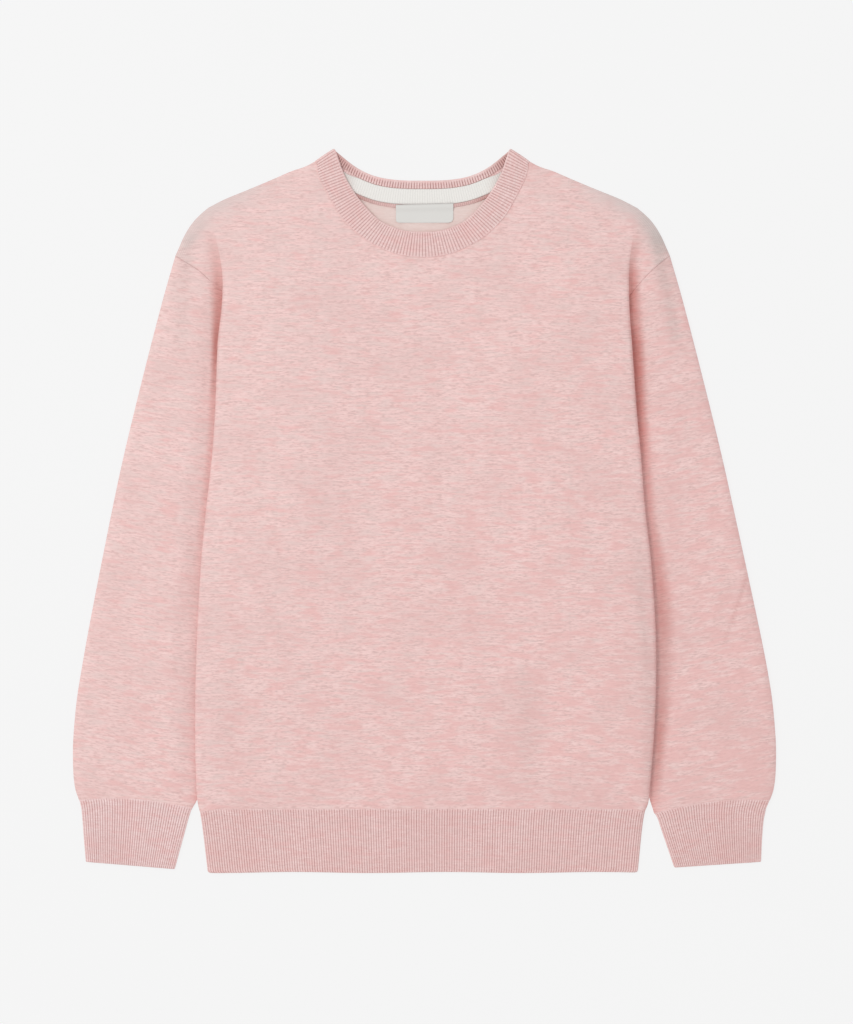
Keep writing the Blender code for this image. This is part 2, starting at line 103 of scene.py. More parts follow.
SLEEVE_OUTER = table(
    "y x",
    (-274.6, 328.6), (-266, 331.6), (-254, 333.4), (-237, 334.1), (-218, 333.8), (-180, 330.4),
    (-142, 324.2), (-104, 316.9), (-28, 301.3), (48, 285), (124, 266.6), (200, 247), (242, 235),
)
SLEEVE_INNER = table(
    "y right left",
    (-290, 224, 218.8), (-282.2, 220.2, 216.6), (-275, 216.2, 214.2), (-262, 213, 211), (-235, 208, 207),
    (-200, 201, 201), (-150, 190, 190), (-100, 180, 180), (-50, 170, 170), (0, 159, 159), (50, 149, 149),
    (100, 144, 144), (150, 146, 146), (168, 150, 150), (190, 174, 178), (209, 190, 197),
)
SLEEVE_ROWS = table(
    "outer_y inner_y curve bow droop",
    (242, 168, 1, 0, 0), (222, 150, 0.6, 0, 0), (195, 128, 0.3, 0, 0), (160, 100, 0.1, 0, 0),
    (120, 65, 0, 0, 0), (75, 28, 0, 0, 0), (30, -12, 0, 0, 0), (-15, -52, 0, 0, 0), (-60, -92, 0, 0, 0),
    (-105, -132, 0, 0, 0), (-150, -170, 0, 0, 0), (-190, -203, 0, 0.5, 0), (-222, -230, 0, 1.5, 0),
    (-245, -252, 0, 3, 1), (-260, -268, 0, 4, 3), (-274.9, -282.8, 0, 5, 5),
)

CUFF_ROWS = table(
    "outer_y inner_y bow droop right_outer right_inner left_outer left_inner",
    (-274.92, -282.82, 5, 5, 328.4, 220.5, 328.4, 218.3),
    (-280.5, -288, 4.6, 4.2, 326.8, 222.6, 326.1, 221.2),
    (-289, -296, 3.5, 3, 325.8, 224.9, 323.3, 223.4), (-311, -318, 1.5, 1, 324.1, 230.9, 321.2, 230.2),
    (-333.9, -340.9, 0, -1.5, 322.2, 237.2, 320.2, 237.2),
)
HEM_ROWS = table(
    "y right left",
    (-344, 206.2, 202.8), (-309, 210.2, 206.1), (-292, 212.1, 207.9), (-283, 213.3, 209.4),
)
# The whole garment lies a little crooked: how far it leans towards the right side at each height.
LEAN = table("y x", (-150, 0), (-50, -1), (30, -1.6), (280, -1.8), (344, -2.2))

COVER = 16  # the body stays lifted this far in from a sleeve's inner edge
RAMP = 42  # and its back panel comes down over this width
# The body's lift over the sleeves begins and is whole at these heights, at the shoulders and at the hem.
RISE_TOP, RISE_FULL = 258, 212
HEM_FLAT, HEM_FULL = -318, -262

BAND = 2.8  # the neckband's two layers together
BAND_LAYER = 1.4
BAND_WIDTH = 25
# The neckband from its middle to the neck point: its folded top edge, its seam, and how far it rises.
FRONT_RIBS = table(
    "in_x in_y out_x out_y rise",
    (0, 265, 0, 240.6, 0), (12, 265.4, 16.5, 242, 0), (24, 268, 32.5, 246.3, 0.1),
    (41, 276, 56, 258.5, 0.4), (56.5, 291.5, 76, 277, 0.8), (67, 306, 88, 296.5, 1),
    (74, 319, 95.5, 311, 1), (78.5, 331, 99.5, 321.5, 1), (82, 341.6, 100.3, 329.4, 1),
)
BACK_RIBS = table(
    "in_x in_y out_x out_y rise",
    (0, 313.7, 0, 288, 0), (13, 313.8, 15, 288.2, 0), (26.5, 314.6, 31, 289.4, 0),
    (39.5, 316.6, 46, 292.3, 0), (51, 320.2, 59, 297, 0), (61.5, 325.6, 71, 302.5, 0),
    (69.5, 331.2, 82, 309.5, 0), (76.5, 337, 92, 318, 0), (82, 341.6, 100.3, 329.4, 0),
)
NECK_POINT = len(FRONT_RIBS) - 1
FOLD_AXIS_Z = (FRONT_BASE + FRONT_RIBS[-1].rise + BAND) / 2  # the band turns over at this height there
NECK_RISE_REACH = 60  # its rise fades along the shoulder over this width

# The two strips sewn to the inside of the back neck. They lie between two shares of the band's width.
Strip = namedtuple("Strip", "start end base thick pitch depth shade more_shade shade_from narrowing")
FACING = Strip(
    start=0.312, end=0.893, base=BAND_LAYER + REST_GAP, thick=1.1, pitch=2.3, depth=0.22,
    shade=0, more_shade=0.35, shade_from=4.2, narrowing=0.11,
)
TAPE = Strip(
    start=0.906, end=1.035, base=WALL + 0.15, thick=1.0, pitch=2.0, depth=0.08,
    shade=0.38, more_shade=1.0, shade_from=2.3, narrowing=0,
)
STRIP_END = 6  # the last row of BACK_RIBS that they reach, under the front neckband
LABEL = 0.35  # its thickness
LABEL_CORNERS = 4.5, 3.0  # how round its lower corners are, left and right
LABEL_X, LABEL_WIDTH = 1.9, 54.6
LABEL_TOP, LABEL_BOTTOM = 291.4, 273.6
LABEL_TILT = 0.03  # its top runs up a little towards the wearer's left
LABEL_STEP = 3.2, 7.7  # it comes down from the tape between these distances from its top
LABEL_CURL, CURL_DOWN = 0.5, (8, 18)  # its sides curl up, most at its lower corners

# ---------------------------------------------------------------- sizes of the looks

FOLD_WIDTH = 5.5  # how far in from the body's folded sides the cloth starts to turn down
SHOULDER_WIDTH, WIDE_OUT = 9.5, (110, 170)  # the same at the shoulders, from this x to that one
SLEEVE_WIDTH = 9.5  # and at the sleeves
CUFF_WIDTH = 0.7 * SLEEVE_WIDTH
CREASE_RUN = 3.5  # width of the shoulder crease's outer side
FRONT_RAMP = 110  # the front panel comes down from the sleeves this softly
LOFT = 2.6  # how much the front panel stands off the back one in the middle
FOLD_LOFT, NECK_LOFT, ARM_LOFT = 60, 55, 50  # it is whole this far from a fold, the neck and an armhole
LOFT_UP = -345, -265  # and between these heights it grows from the hem up
EDGE_APART = 0.05  # half the gap between the two panels where their edges meet
SIDE_END = 12  # the body's folded side fades into the shoulder crease over this height
SEAM_GAP = 0.04  # sewn pieces all but touch
SEAM_DIP, SEAM_REACH = 0.4, 1.2  # how deep and wide the cloth turns down into the armhole seam
WELT, WELT_AT, WELT_WIDTH = 0.3, 1.9, 0.9  # the seam's turned-in edge shows beside it as a soft ridge
SEAM_WIDTH = 0.42  # of its groove
SEAM_LOST = 1.0, 0.35  # how much of it is lost in deep shade, right and left
NARROW_FROM = 4.3  # the facing's upper edge comes down from this row of BACK_RIBS on
CORNER_SHARE = 0.28  # where the neckline reaches the band's corner, in rows of its table before the end
RIM_REACH, RIM_FROM = 14, 140  # near the shoulder's fold the stitches show as fine lines, from this x on
# The grey along the shoulder's fold is partly painted shade, where the cloth turns away from the light, and
# partly the cloth's own greyer tinge.
FOLD_SHADE_GREYNESS, GREY_REACH = 0.66, 22  # how grey the cloth is along the shoulder's fold, and how far in,
GREY_OUT, GREY_DOWN = (130, 190), (262, 242)  # growing outwards, and less from there down
HEM_DROOP, DROOP_HEIGHT = 3.2, 30  # the hem's top line, and the cloth near it, come down at the sides
DROOP_FROM, DROOP_FULL = 194, 218

# How far the sleeves and shoulders stand up, beyond the crease beside the body.
PUFF_REACH = 24  # beside the body they reach their height over this width,
PUFF_OUT, PUFF_UP = (120, 200), (215, 260)  # and on the shoulders between these places across and up
OUTSIDE_PUFF = table(
    "y x",
    (-290, 0.9), (-262, 2), (-200, 3.8), (-100, 4.6), (0, 4.6), (100, 4.2), (200, 3.4), (242, 3),
    (272, 2.6), (290, 2.2),
)
# How deep in shade the cloth beside the body is, how dim, and how far out. Light goes from yarn to
# yarn in there, so the shade is a deeper pink.
HOLLOWS = table(
    "y right left right_dim left_dim right_reach left_reach",
    (-262, 0.02, 0.44, 0, 0.02, 7, 14), (-218, 0.04, 0.72, 0, 0.46, 8, 16),
    (-161, 0.07, 0.37, 0, 0.42, 9, 20), (-85, 0.07, 0.62, 0, 0.34, 10, 22),
    (-9, 0.26, 0.52, 0, 0.08, 8, 13.5), (48, 0.26, 0.62, 0, 0.08, 8, 12.5),
    (105, 0.44, 0.95, 0.15, 0.42, 8, 13.5), (157, 1, 1, 0.8, 0.52, 8, 15.5),
    (181, 0.88, 0.78, 0.46, 0.32, 11.5, 15), (200, 0.82, 0.9, 0.48, 0.45, 14, 13),
    (214, 0.7, 0.82, 0.44, 0.42, 15, 13), (228, 0.5, 0.66, 0.14, 0.12, 14, 11),
    (242, 0.34, 0.4, 0.08, 0.3, 14, 9.5), (253, 0.2, 0.28, 0.05, 0.2, 13, 12), (266, 0, 0, 0, 0, 12, 8),
)
HOLLOW_CORE = 0.3  # the share of its reach over which the shade is whole
BODY_SHADE_RIGHT, BODY_SHADE_LEFT, BODY_SHADE_REACH = 0.2, 0.3, 4  # its share on the body's own edge
CONTACT_EASE = 0.65  # low on the left side the shade is this much weaker right at the body's edge
EASE_REACH, EASE_TOP, EASE_FULL = 5, 80, 20  # out to there, from the first height down to the second

# How much further than the frame the body's edges stand up over the sleeves.
PUFF = table(
    "y right left",
    (-283, 0, 0), (-262, 0.8, 0.4), (-150, 1.2, 1.8), (0, 1.4, 2.4), (90, 2, 3.3), (150, 3.2, 3.6),
    (215, 3.4, 3.4), (258, 1, 1),
)

# Soft creases and dents: a straight stretch, how far to its sides it fades out, and its height.
CREASE = "x1 y1 x2 y2 width height"
FRONT_CREASES = table(
    CREASE,
    (-128, -85, -192, -240, 14, -0.5), (108, -150, 118, -268, 16, -0.45),
    (95, -190, 150, -262, 20, 0.35), (-60, -262, 10, -272, 12, 0.3), (-215, 232, -200, 250, 12, -0.4),
    (205, 240, 214, 254, 12, -0.4), (-186, 196, -150, 150, 16, 0.35), (190, 190, 152, 128, 18, 0.4),
    (-30, 228, 30, 226, 9, 0.25), (60, 60, 130, 20, 26, -0.3), (-140, 90, -80, 120, 30, 0.3),
)
# Soft strokes of painted shade, where the cloth dips or turns away from the light: their height is how dim.
SHADE_STROKES = table(
    CREASE,
    (-221, 259, -227.5, 209, 7, 0.32), (-227.5, 209, -229.5, 157, 8, 0.22),
    (-206, 275, -232, 241, 4, 0.3), (220, 261, 230.5, 211, 7, 0.62), (230.5, 211, 240, 160, 7, 0.55),
    (208, 279, 233, 242, 9, 0.5), (204, -40, 213, -180, 7, 0.38), (98, -155, 100, -262, 12, 0.2),
    (-178, -110, -181, -250, 14, 0.12), (213, -180, 212, -270, 7, 0.4),
)
# Painted shade along a pressed-in crease on the left sleeve, fainter on its lower stretch.
SLEEVE_CREASE_SHADE = table(CREASE, (307, -62, 295, -97, 1.4, 0.62), (295, -97, 283.5, -128, 1.5, 0.42))
# The front's creases fade out this near to the neck, a side and a shoulder's fold, and the sleeves' near
# their ends and between these distances from the body.
NECK_FADE, SIDE_FADE, FOLD_FADE, END_FADE, BODY_FADE = 12, 30, 20, 20, (4, 18)
# On the right sleeve (-1) and on the left one (1).
SLEEVE_CREASES = {
    -1: table(
        CREASE,
        (-262, 20, -222, -60, 16, 0.4), (-318, -170, -262, -214, 12, -0.4),
        (-300, -232, -282, -268, 8, 0.4), (-240, -236, -228, -268, 9, 0.35),
        (-250, 150, -228, 96, 14, -0.35),
    ),
    1: table(
        CREASE,
        (306.5, -66, 285, -124, 2.4, -0.45), (303, -76, 286, -122, 5, 0.5),
        (296, -98, 285, -186, 6, -0.5), (250, 120, 232, 60, 14, -0.4), (318, -205, 290, -262, 10, 0.4),
        (238, -228, 246, -268, 9, -0.35),
    ),
}
# Long uneven waves over all the cloth: their lengths across and along, a phase, and a height.
WAVES = table(
    "across along phase height",
    (310, 190, 0.4, 0.22), (-140, 260, 2.1, 0.16), (95, -120, 4.4, 0.1), (62, 75, 1.2, 0.05),
)

HEM_RIB_PITCH = 2.4
CUFF_RIBS = 44  # across the upper side
NECK_RIB_PITCH = 2.7
RIB_DEPTH = 0.7
RIB_STEPS = 6  # points across a rib
RIB_SHARPNESS = 3.4  # the higher, the narrower the valleys
RIB_START, START_SPREAD = 1.6, 0.6  # the valleys begin this far from the seam, give or take so much
RIB_SPREAD = 0.2  # each is deeper or shallower by up to this share
EDGE_ROUND, EDGE_REACH = 0.5, 1.5  # how round the cuffs' and the hem's lower edges are, and over what width
CUFF_PUFF = -345, -275  # the cuffs grow as high as the sleeves between these heights
CUFF_RIPPLE, RIPPLE_DOWN = 0.15, (-283, -303)  # they ripple a little, more so downwards
HEM_CORNER, CORNER_REACH = 1.8, 3  # the hem's lower corners are rounded
HEM_WAVE, WAVES_UP = 0.5, (-340, -290)  # how far its lower edge wanders, and where the cloth's waves set in
BAND_BULGE = 0.35
BAND_SHADE = 4, 7.4  # the back half's inside darkens between these rows of BACK_RIBS

FRONT_SPACING, BACK_SPACING, SLEEVE_SPACING = 3.0, 5.0, 2.6
WALE, COURSE = 1.5, 1.15  # the plain knit's stitches, across and along
SLEEVE_ANGLE = math.radians(8)  # the sleeves' rows of stitches rise this much towards their outer side


def smooth(t):
    """0 below 0, 1 above 1, and a smooth step between."""
    t = np.clip(t, 0, 1)
    return t * t * (3 - 2 * t)


def step(value, start, end):
    """A smooth step from 0 at the start to 1 at the end, which may be the lower of the two."""
    return smooth((value - start) / (end - start))


def mix(a, b, t):
    return a + (b - a) * t


def quarter(t):
    """The height of a quarter circle, 0 at t 0 and 1 from t 1 on."""
    return np.sqrt(1 - (1 - np.clip(t, 0, 1)) ** 2)


def bell(t):
    return np.exp(-(t**2))


def curve(keys, values, key):
    """A smooth curve through the values at rising keys."""
    keys, values = np.array(keys, float), np.array(values, float)
    key = np.clip(key, keys[0], keys[-1])
    numbers = np.arange(len(keys))
    low, high = np.maximum(numbers - 1, 0), np.minimum(numbers + 1, len(keys) - 1)
    slopes = (values[high] - values[low]) / (keys[high] - keys[low])
    i = np.clip(np.searchsorted(keys, key, side="right") - 1, 0, len(keys) - 2)
    run = keys[i + 1] - keys[i]
    t = (key - keys[i]) / run
    near = (1 + 2 * t) * (1 - t) ** 2 * values[i] + t * (1 - t) ** 2 * run * slopes[i]
    far = t * t * (3 - 2 * t) * values[i + 1] - t * t * (1 - t) * run * slopes[i + 1]
    return near + far


def through(rows, key, column):
    """A column's value at a key of the table's first column."""
    return curve([row[0] for row in rows], [getattr(row, column) for row in rows], key)


def between(rows, place, column):
    """A column's value at a row number, which may lie between two rows."""
    return curve(range(len(rows)), [getattr(row, column) for row in rows], place)


def by_side(x, rows, y, kind=""):
    """A table's value at each height, for the side of the garment that x is on."""
    return np.where(x < 0, through(rows, y, "right" + kind), through(rows, y, "left" + kind))


def side_name(side):
    return "right" if side < 0 else "left"


def armhole(side, share):
    name = side_name(side)
    return through(ARMHOLE, share, name + "_x"), through(ARMHOLE, share, name + "_y")


def finer_at_ends(count, ease=0.5):
    """Shares from 0 to 1, closer together at both ends."""
    even = np.linspace(0, 1, count + 1)
    return mix(even, (1 - np.cos(math.pi * even)) / 2, ease)


def lengths(points):
    """The length along a line of points up to each."""
    return np.concatenate([[0], np.cumsum(np.linalg.norm(np.diff(points, axis=0), axis=1))])


def to_line(points, line):
    """How far each point is from a line of points, and the side of the line that faces the garment."""
    best = np.full(len(points), np.inf)
    inward = np.zeros((len(points), 2))
    for start, end in zip(line[:-1], line[1:]):
        run = end - start
        t = np.clip(((points - start) @ run) / (run @ run), 0, 1)
        distance = np.hypot(*(points - start - t[:, None] * run).T)
        across = np.array([-run[1], run[0]]) / math.hypot(*run)
        if across @ start > 0:
            across = -across
        nearer = distance < best
        best[nearer] = distance[nearer]
        inward[nearer] = across
    return best, inward


# ---------------------------------------------------------------- the cloth's heights and tones


def waves(x, y):
    return sum(w.height * np.sin(2 * math.pi * (x / w.across + y / w.along) + w.phase) for w in WAVES)


def creases(x, y, rows):
    """The height that a list of soft creases adds."""
    height = np.zeros(np.shape(x))
    for row in rows:
        run = np.array([row.x2 - row.x1, row.y2 - row.y1])
        length = math.hypot(*run)
        along = ((x - row.x1) * run[0] + (y - row.y1) * run[1]) / length**2
        aside = ((x - row.x1) * run[1] - (y - row.y1) * run[0]) / length
        taper = smooth(np.minimum(along, 1 - along) * 2.5 + 0.5)
        height += row.height * bell(aside / row.width) * taper
    return height


def seam_dip(distance):
    """The cloth beside the armhole seam turns down into it, behind a soft ridge."""
    dip = SEAM_DIP * (1 - np.clip(distance / SEAM_REACH, 0, 1)) ** 2
    return WELT * bell((distance - WELT_AT) / WELT_WIDTH) - dip


def seam_shade(distance):
    """How deep in the seam's groove a place is, for the materials."""
    return bell(distance / SEAM_WIDTH)


def valleys(steps):
    """How deep in a rib each step across the ribs lies: 0 on a ridge and 1 in a valley."""
    return np.abs(2 * ((steps % RIB_STEPS) / RIB_STEPS) - 1) ** RIB_SHARPNESS


def uneven(numbers, phase):
    """Values from -1 to 1 that seem to follow no rule."""
    return np.sin(numbers * 2.399 + phase) * np.cos(numbers * 0.731 + 2.1 * phase)


def rise_share(y):
    """How much of the body's lift over the sleeves there is at each height."""
    return step(y, RISE_TOP, RISE_FULL) * step(y, HEM_FLAT, HEM_FULL)


def lift_share(x, y, ramp):
    """1 over a sleeve, and down to 0 over the ramp."""
    edge = by_side(x, BODY_EDGE, y)
    covered = np.maximum(edge - by_side(x, SLEEVE_INNER, y), 0) + COVER
    return smooth(1 - (edge - np.abs(x) - covered) / ramp)


def front_lift(x, y):
    return (LIFT + by_side(x, PUFF, y)) * rise_share(y) * lift_share(x, y, FRONT_RAMP)


def back_lift(x, y):
    return LIFT * rise_share(y) * lift_share(x, y, RAMP)


def arm_line(x):
    """The height at which the body's folded side ends and the shoulder crease begins."""
    low, high = armhole(-1, BODY_SHARE)[1], armhole(1, BODY_SHARE)[1]
    return mix(low, high, step(x, -200, 200))


def shoulder_rise(x):
    return FRONT_RIBS[-1].rise * smooth(1 - (np.abs(x) - SHOULDER[0].x) / NECK_RISE_REACH)


def puff(x, y):
    """How far the sleeves and shoulders stand up: from nothing at the crease beside the body."""
    outside = np.abs(x) - by_side(x, BODY_EDGE, y)
    over_shoulder = step(np.abs(x), *PUFF_OUT)
    share = mix(smooth(outside / PUFF_REACH), over_shoulder, step(y, *PUFF_UP))
    return through(OUTSIDE_PUFF, y, "x") * share


def tones(x, y):
    """How deep in the shade of the crease beside the body the cloth is, and how dim."""
    outside = np.abs(x) - by_side(x, BODY_EDGE, y)
    deep, dim, reach = (np.maximum(by_side(x, HOLLOWS, y, kind), 0) for kind in ("", "_dim", "_reach"))
    on_body = np.where(x < 0, BODY_SHADE_RIGHT, BODY_SHADE_LEFT) * smooth(1 + outside / BODY_SHADE_REACH)
    eased = CONTACT_EASE * (1 - smooth(outside / EASE_REACH)) * step(y, EASE_TOP, EASE_FULL) * (x > 0)
    beyond = (1 - step(outside / reach, HOLLOW_CORE, 1)) * (1 - eased)
    fade = np.where(outside < 0, on_body, beyond)
    return deep * fade, dim * fade + creases(x, y, SHADE_STROKES)


def seam_shows(x, deep):
    """How clearly the armhole seam shows: on the right side it's lost in the crease beside the body."""
    return 1 - np.where(x < 0, *SEAM_LOST) * smooth(deep * 3)


def front_face(x, y, level):
    """The height of the front panel's face, with its side folds and shoulder creases."""
    inside = by_side(x, BODY_EDGE, y) - np.abs(x)
    up = rise_share(y)
    top = level + front_lift(x, y)
    edge_top = level + (LIFT + by_side(x, PUFF, y)) * up
    drop = (edge_top - LIFT * up) / 2
    turn = np.where(y > arm_line(x), up, 1.0)
    inner = top - turn * drop * (1 - quarter(inside / FOLD_WIDTH))
    outer = level + np.maximum(edge_top - turn * drop - level, 0) * smooth(1 + inside / CREASE_RUN)
    return np.where(inside < 0, outer, inner)


def hem_droop(x, y):
    """How far the hem's top line and the cloth near it come down at the sides."""
    at_side = step(np.abs(x), DROOP_FROM, DROOP_FULL)
    return HEM_DROOP * at_side * smooth(1 - np.abs(y - HEM_TOP) / DROOP_HEIGHT)


def hem_loft(y):
    """How much the front stands off the back: less and less down to the hem's lower edge."""
    return LOFT * step(y, *LOFT_UP)


# ---------------------------------------------------------------- meshes


class Cloth:
    """Collects a piece's points, with their place in the knitting and their depth in a rib or seam."""

    def __init__(self):
        self.points, self.places, self.grooves, self.tones, self.faces, self.looks = [], [], [], [], [], []
        self.count = 0

    def add(self, points, places, grooves=0.0, tone=(0.0, 0.0, 0.0)):
        """Adds points in rows, and returns their numbers. A tone is painted shade in hollows, painted
        dimness, and greyness that is partly painted shade.
        """
        shape = points.shape[:-1]
        size = math.prod(shape)
        width = np.shape(places)[-1]
        self.points.append(points.reshape(-1, 3))
        self.places.append(np.zeros((size, 3)))
        self.places[-1][:, :width] = np.broadcast_to(places, (*shape, width)).reshape(-1, width)
        self.grooves.append(np.broadcast_to(grooves, shape).reshape(-1))
        self.tones.append(np.broadcast_to(tone, (*shape, 3)).reshape(-1, 3))
        numbers = np.arange(self.count, self.count + size).reshape(shape)
        self.count += size
        return numbers

    def join(self, numbers, look=0):
        """Adds the faces between rows of point numbers."""
        corners = (numbers[:-1, :-1], numbers[:-1, 1:], numbers[1:, 1:], numbers[1:, :-1])
        faces = np.stack([c.reshape(-1) for c in corners], axis=1)
        self.faces.append(faces)
        self.looks.append(np.full(len(faces), look))

    def make(self, name, *materials):
        """The finished object, with its faces pointing out."""
        points = np.concatenate(self.points)
        points[:, 0] += through(LEAN, points[:, 1], "x")
        mesh = bpy.data.meshes.new(name)
        mesh.from_pydata(points * MM, [], np.concatenate(self.faces).tolist())
        for finish in materials:
            mesh.materials.append(finish)
        mesh.polygons.foreach_set("material_index", np.concatenate(self.looks).astype(np.int32))
        vectors = {"cloth": np.concatenate(self.places) * MM, "tone": np.concatenate(self.tones)}
        for key, values in vectors.items():
            layer = mesh.attributes.new(key, "FLOAT_VECTOR", "POINT")
            layer.data.foreach_set("vector", values.astype(np.float32).ravel())
        grooves = np.concatenate(self.grooves).astype(np.float32)
        mesh.attributes.new("groove", "FLOAT", "POINT").data.foreach_set("value", grooves)
        turned = bmesh.new()
        turned.from_mesh(mesh)
        bmesh.ops.recalc_face_normals(turned, faces=turned.faces)
        turned.to_mesh(mesh)
        turned.free()
        mesh.shade_smooth()
        mesh.set_sharp_from_angle(angle=math.radians(70))
        piece = bpy.data.objects.new(name, mesh)
        bpy.context.scene.collection.objects.link(piece)
        return piece


def closed(numbers):
    """Rows of point numbers that go all the way round."""
    return np.concatenate([numbers, numbers[:, :1]], axis=1)


def at(*numbers):
    """Points, or places in the knitting, from their numbers in each direction."""
    return np.stack(np.broadcast_arrays(*numbers), axis=-1).astype(float)


# ---------------------------------------------------------------- body panels


def neckline(ribs, place):
    """The panel's neck edge: beside the ribs' outer ends, and round the band's corner to the shoulder."""
    points = []
    for rib in ribs:
        share = 1 + SEAM_GAP / math.hypot(rib.out_x - rib.in_x, rib.out_y - rib.in_y)
        points.append((mix(rib.in_x, rib.out_x, share), mix(rib.in_y, rib.out_y, share)))
    points.append(SHOULDER[0])
    places = [*range(NECK_POINT), NECK_POINT - CORNER_SHARE, NECK_POINT]
    return [curve(places, [p[n] for p in points], place) for n in (0, 1)]


def panel_top(ribs, place):
    """The top end of the panel's columns: along the neckline, and then along the shoulder line."""
    neck = neckline(ribs, place)
    shoulder = [between(SHOULDER, place - NECK_POINT, axis) for axis in "xy"]
    return [np.where(place < NECK_POINT, n, s) for n, s in zip(neck, shoulder)]


def outline(side):
    """The folded line round the shoulder, from the armhole seam to the neckband."""
    cap_y = np.linspace(CAP_EDGE[0].y, CAP_EDGE[-1].y, 40)
    cap = at(side * through(CAP_EDGE, cap_y, "x"), cap_y)
    place = np.linspace(len(SHOULDER) - 1, 0, 60)
    shoulder = at(side * between(SHOULDER, place, "x"), between(SHOULDER, place, "y"))
    return np.concatenate([cap, shoulder[1:]])


def panel_columns(spacing):
    """Places of a panel's columns along its top line, left and right of the middle, finer at its sides."""
    last = NECK_POINT + len(SHOULDER) - 1
    near_edge = 0.5
    across = round((last - near_edge) * BODY_EDGE[5].left / last / spacing)
    half = np.concatenate([
        np.linspace(0, last - near_edge, across, endpoint=False),
        last - near_edge * np.linspace(1, 0, 10) ** 1.5,
    ])
    return np.concatenate([-half[:0:-1], half]), last


def panel_rows(spacing, arm_y):
    """Shares of a panel's rows from the hem up to the armhole, and from there up to the top line."""
    near_hem = np.array([0, 0.6, 1.2, 1.9, 2.8, 4, 5.5, 7.5])
    height = arm_y.max() - HEM_TOP
    low = np.concatenate([near_hem, np.arange(10, height - spacing / 2, spacing)]) / height
    yoke = SHOULDER[0].y - arm_y.min()
    rows = round(yoke * 0.93 / spacing)
    near_arm = np.array([0, 0.4, 0.8, 1.3, 1.9, 2.7, 3.7]) / yoke
    near_top = np.array([9.5, 7.6, 6, 4.6, 3.4, 2.4, 1.5, 0.8, 0.3, 0]) / yoke
    middle = np.linspace(5 / yoke, 1 - near_top[0], rows, endpoint=False)
    return low, np.concatenate([near_arm, middle, 1 - near_top])


def panel_middle(ribs, spacing):
    """A panel between its sides: rows of x and y, how much the neckband lifts each point, and the shares of
    its rows above the armholes.
    """
    column, last = panel_columns(spacing)
    top_x, top_y = panel_top(ribs, np.abs(column))
    arm_y = mix(armhole(-1, BODY_SHARE)[1], armhole(1, BODY_SHARE)[1], (column / last + 1) / 2)
    low, ups = panel_rows(spacing, arm_y)
    low_y = mix(HEM_TOP, arm_y, low[:, None])
    high_y = mix(arm_y, top_y, ups[:, None])
    y = np.concatenate([low_y, high_y])
    # From even columns at the hem to columns that end at their places on the top line.
    narrowing = np.concatenate([
        0.4 * np.maximum(low_y / arm_y, 0) ** 2,
        np.broadcast_to(mix(0.4, 1, ups[:, None]), high_y.shape),
    ])
    share = mix(np.abs(column) / last, top_x / by_side(column, BODY_EDGE, top_y), narrowing)
    side = np.where(column < 0, -1, 1)
    x = side * by_side(np.broadcast_to(column, y.shape), BODY_EDGE, y) * share
    rise_there = between(ribs, np.minimum(np.abs(column), NECK_POINT), "rise")
    rise_there = rise_there * smooth(1 - np.maximum(top_x - SHOULDER[0].x, 0) / NECK_RISE_REACH)
    return x, y, np.concatenate([np.zeros(low_y.shape), smooth(ups)[:, None] * rise_there]), ups


def panel_plan(ribs, spacing):
    """A body panel in plan: its points, how much the neckband lifts each, and its grids of point numbers."""
    x, y, rise, ups = panel_middle(ribs, spacing)
    points = [at(x, y).reshape(-1, 2)]
    rises = [rise.reshape(-1)]
    grids = [np.arange(x.size).reshape(x.shape)]
    count = x.size
    above_arm = slice(len(x) - len(ups), None)
    for side, end in ((-1, 0), (1, -1)):
        crease = grids[0][above_arm, end]
        cap = cap_plan(side, np.abs(x[above_arm, end]), y[above_arm, end], ups, spacing)
        points.append(cap.reshape(-1, 2))
        rises.append(np.zeros(cap.shape[0] * cap.shape[1]))
        more = np.arange(count, count + rises[-1].size).reshape(cap.shape[:2])
        grids.append(np.concatenate([crease[:, None], more], axis=1))
        count += more.size
    return np.concatenate(points), np.concatenate(rises), grids


def cap_plan(side, inner_x, inner_y, ups, spacing):
    """The part of a panel between the crease, the armhole seam and the shoulder's outline."""
    s = finer_at_ends(round(60 / spacing), 0.6)[None, :]
    t = ups[:, None]
    seam = armhole(side, BODY_SHARE * (1 - s))
    top_y = mix(CAP_EDGE[-1].y, CAP_CORNER_Y, s)
    top = (through(CAP_EDGE, top_y, "x"), top_y)
    outer_y = mix(CAP_EDGE[0].y, CAP_CORNER_Y, t)
    outer = (through(CAP_EDGE, outer_y, "x"), outer_y)
    inner = (inner_x[:, None], inner_y[:, None])
    plan = [
        mix(seam[c], top[c], t) + mix(inner[c], outer[c], s)
        - mix(mix(seam[c][:, :1], seam[c][:, -1:], s), mix(top[c][:, :1], top[c][:, -1:], s), t)
        for c in (0, 1)
    ]
    return at(side * plan[0], plan[1])[:, 1:]


def shoulder_folds(points):
    """How far each point is from the folded line round a shoulder, and the way in from it."""
    left, right = (to_line(points, outline(side)) for side in (1, -1))
    nearer_left = left[0] < right[0]
    return np.where(nearer_left, left[0], right[0]), np.where(nearer_left[:, None], left[1], right[1])


def seams_near(points, ribs):
    """How far each point is from the neckline, and from the nearer armhole seam."""
    neck, arm = np.full((2, len(points)), np.inf)
    for side in (-1, 1):
        x, y = neckline(ribs, np.linspace(0, NECK_POINT, 80))
        neck = np.minimum(neck, to_line(points, at(side * x, y))[0])
        x, y = armhole(side, np.linspace(0, BODY_SHARE, 30))
        arm = np.minimum(arm, to_line(points, at(side * x, y))[0])
    return neck, arm


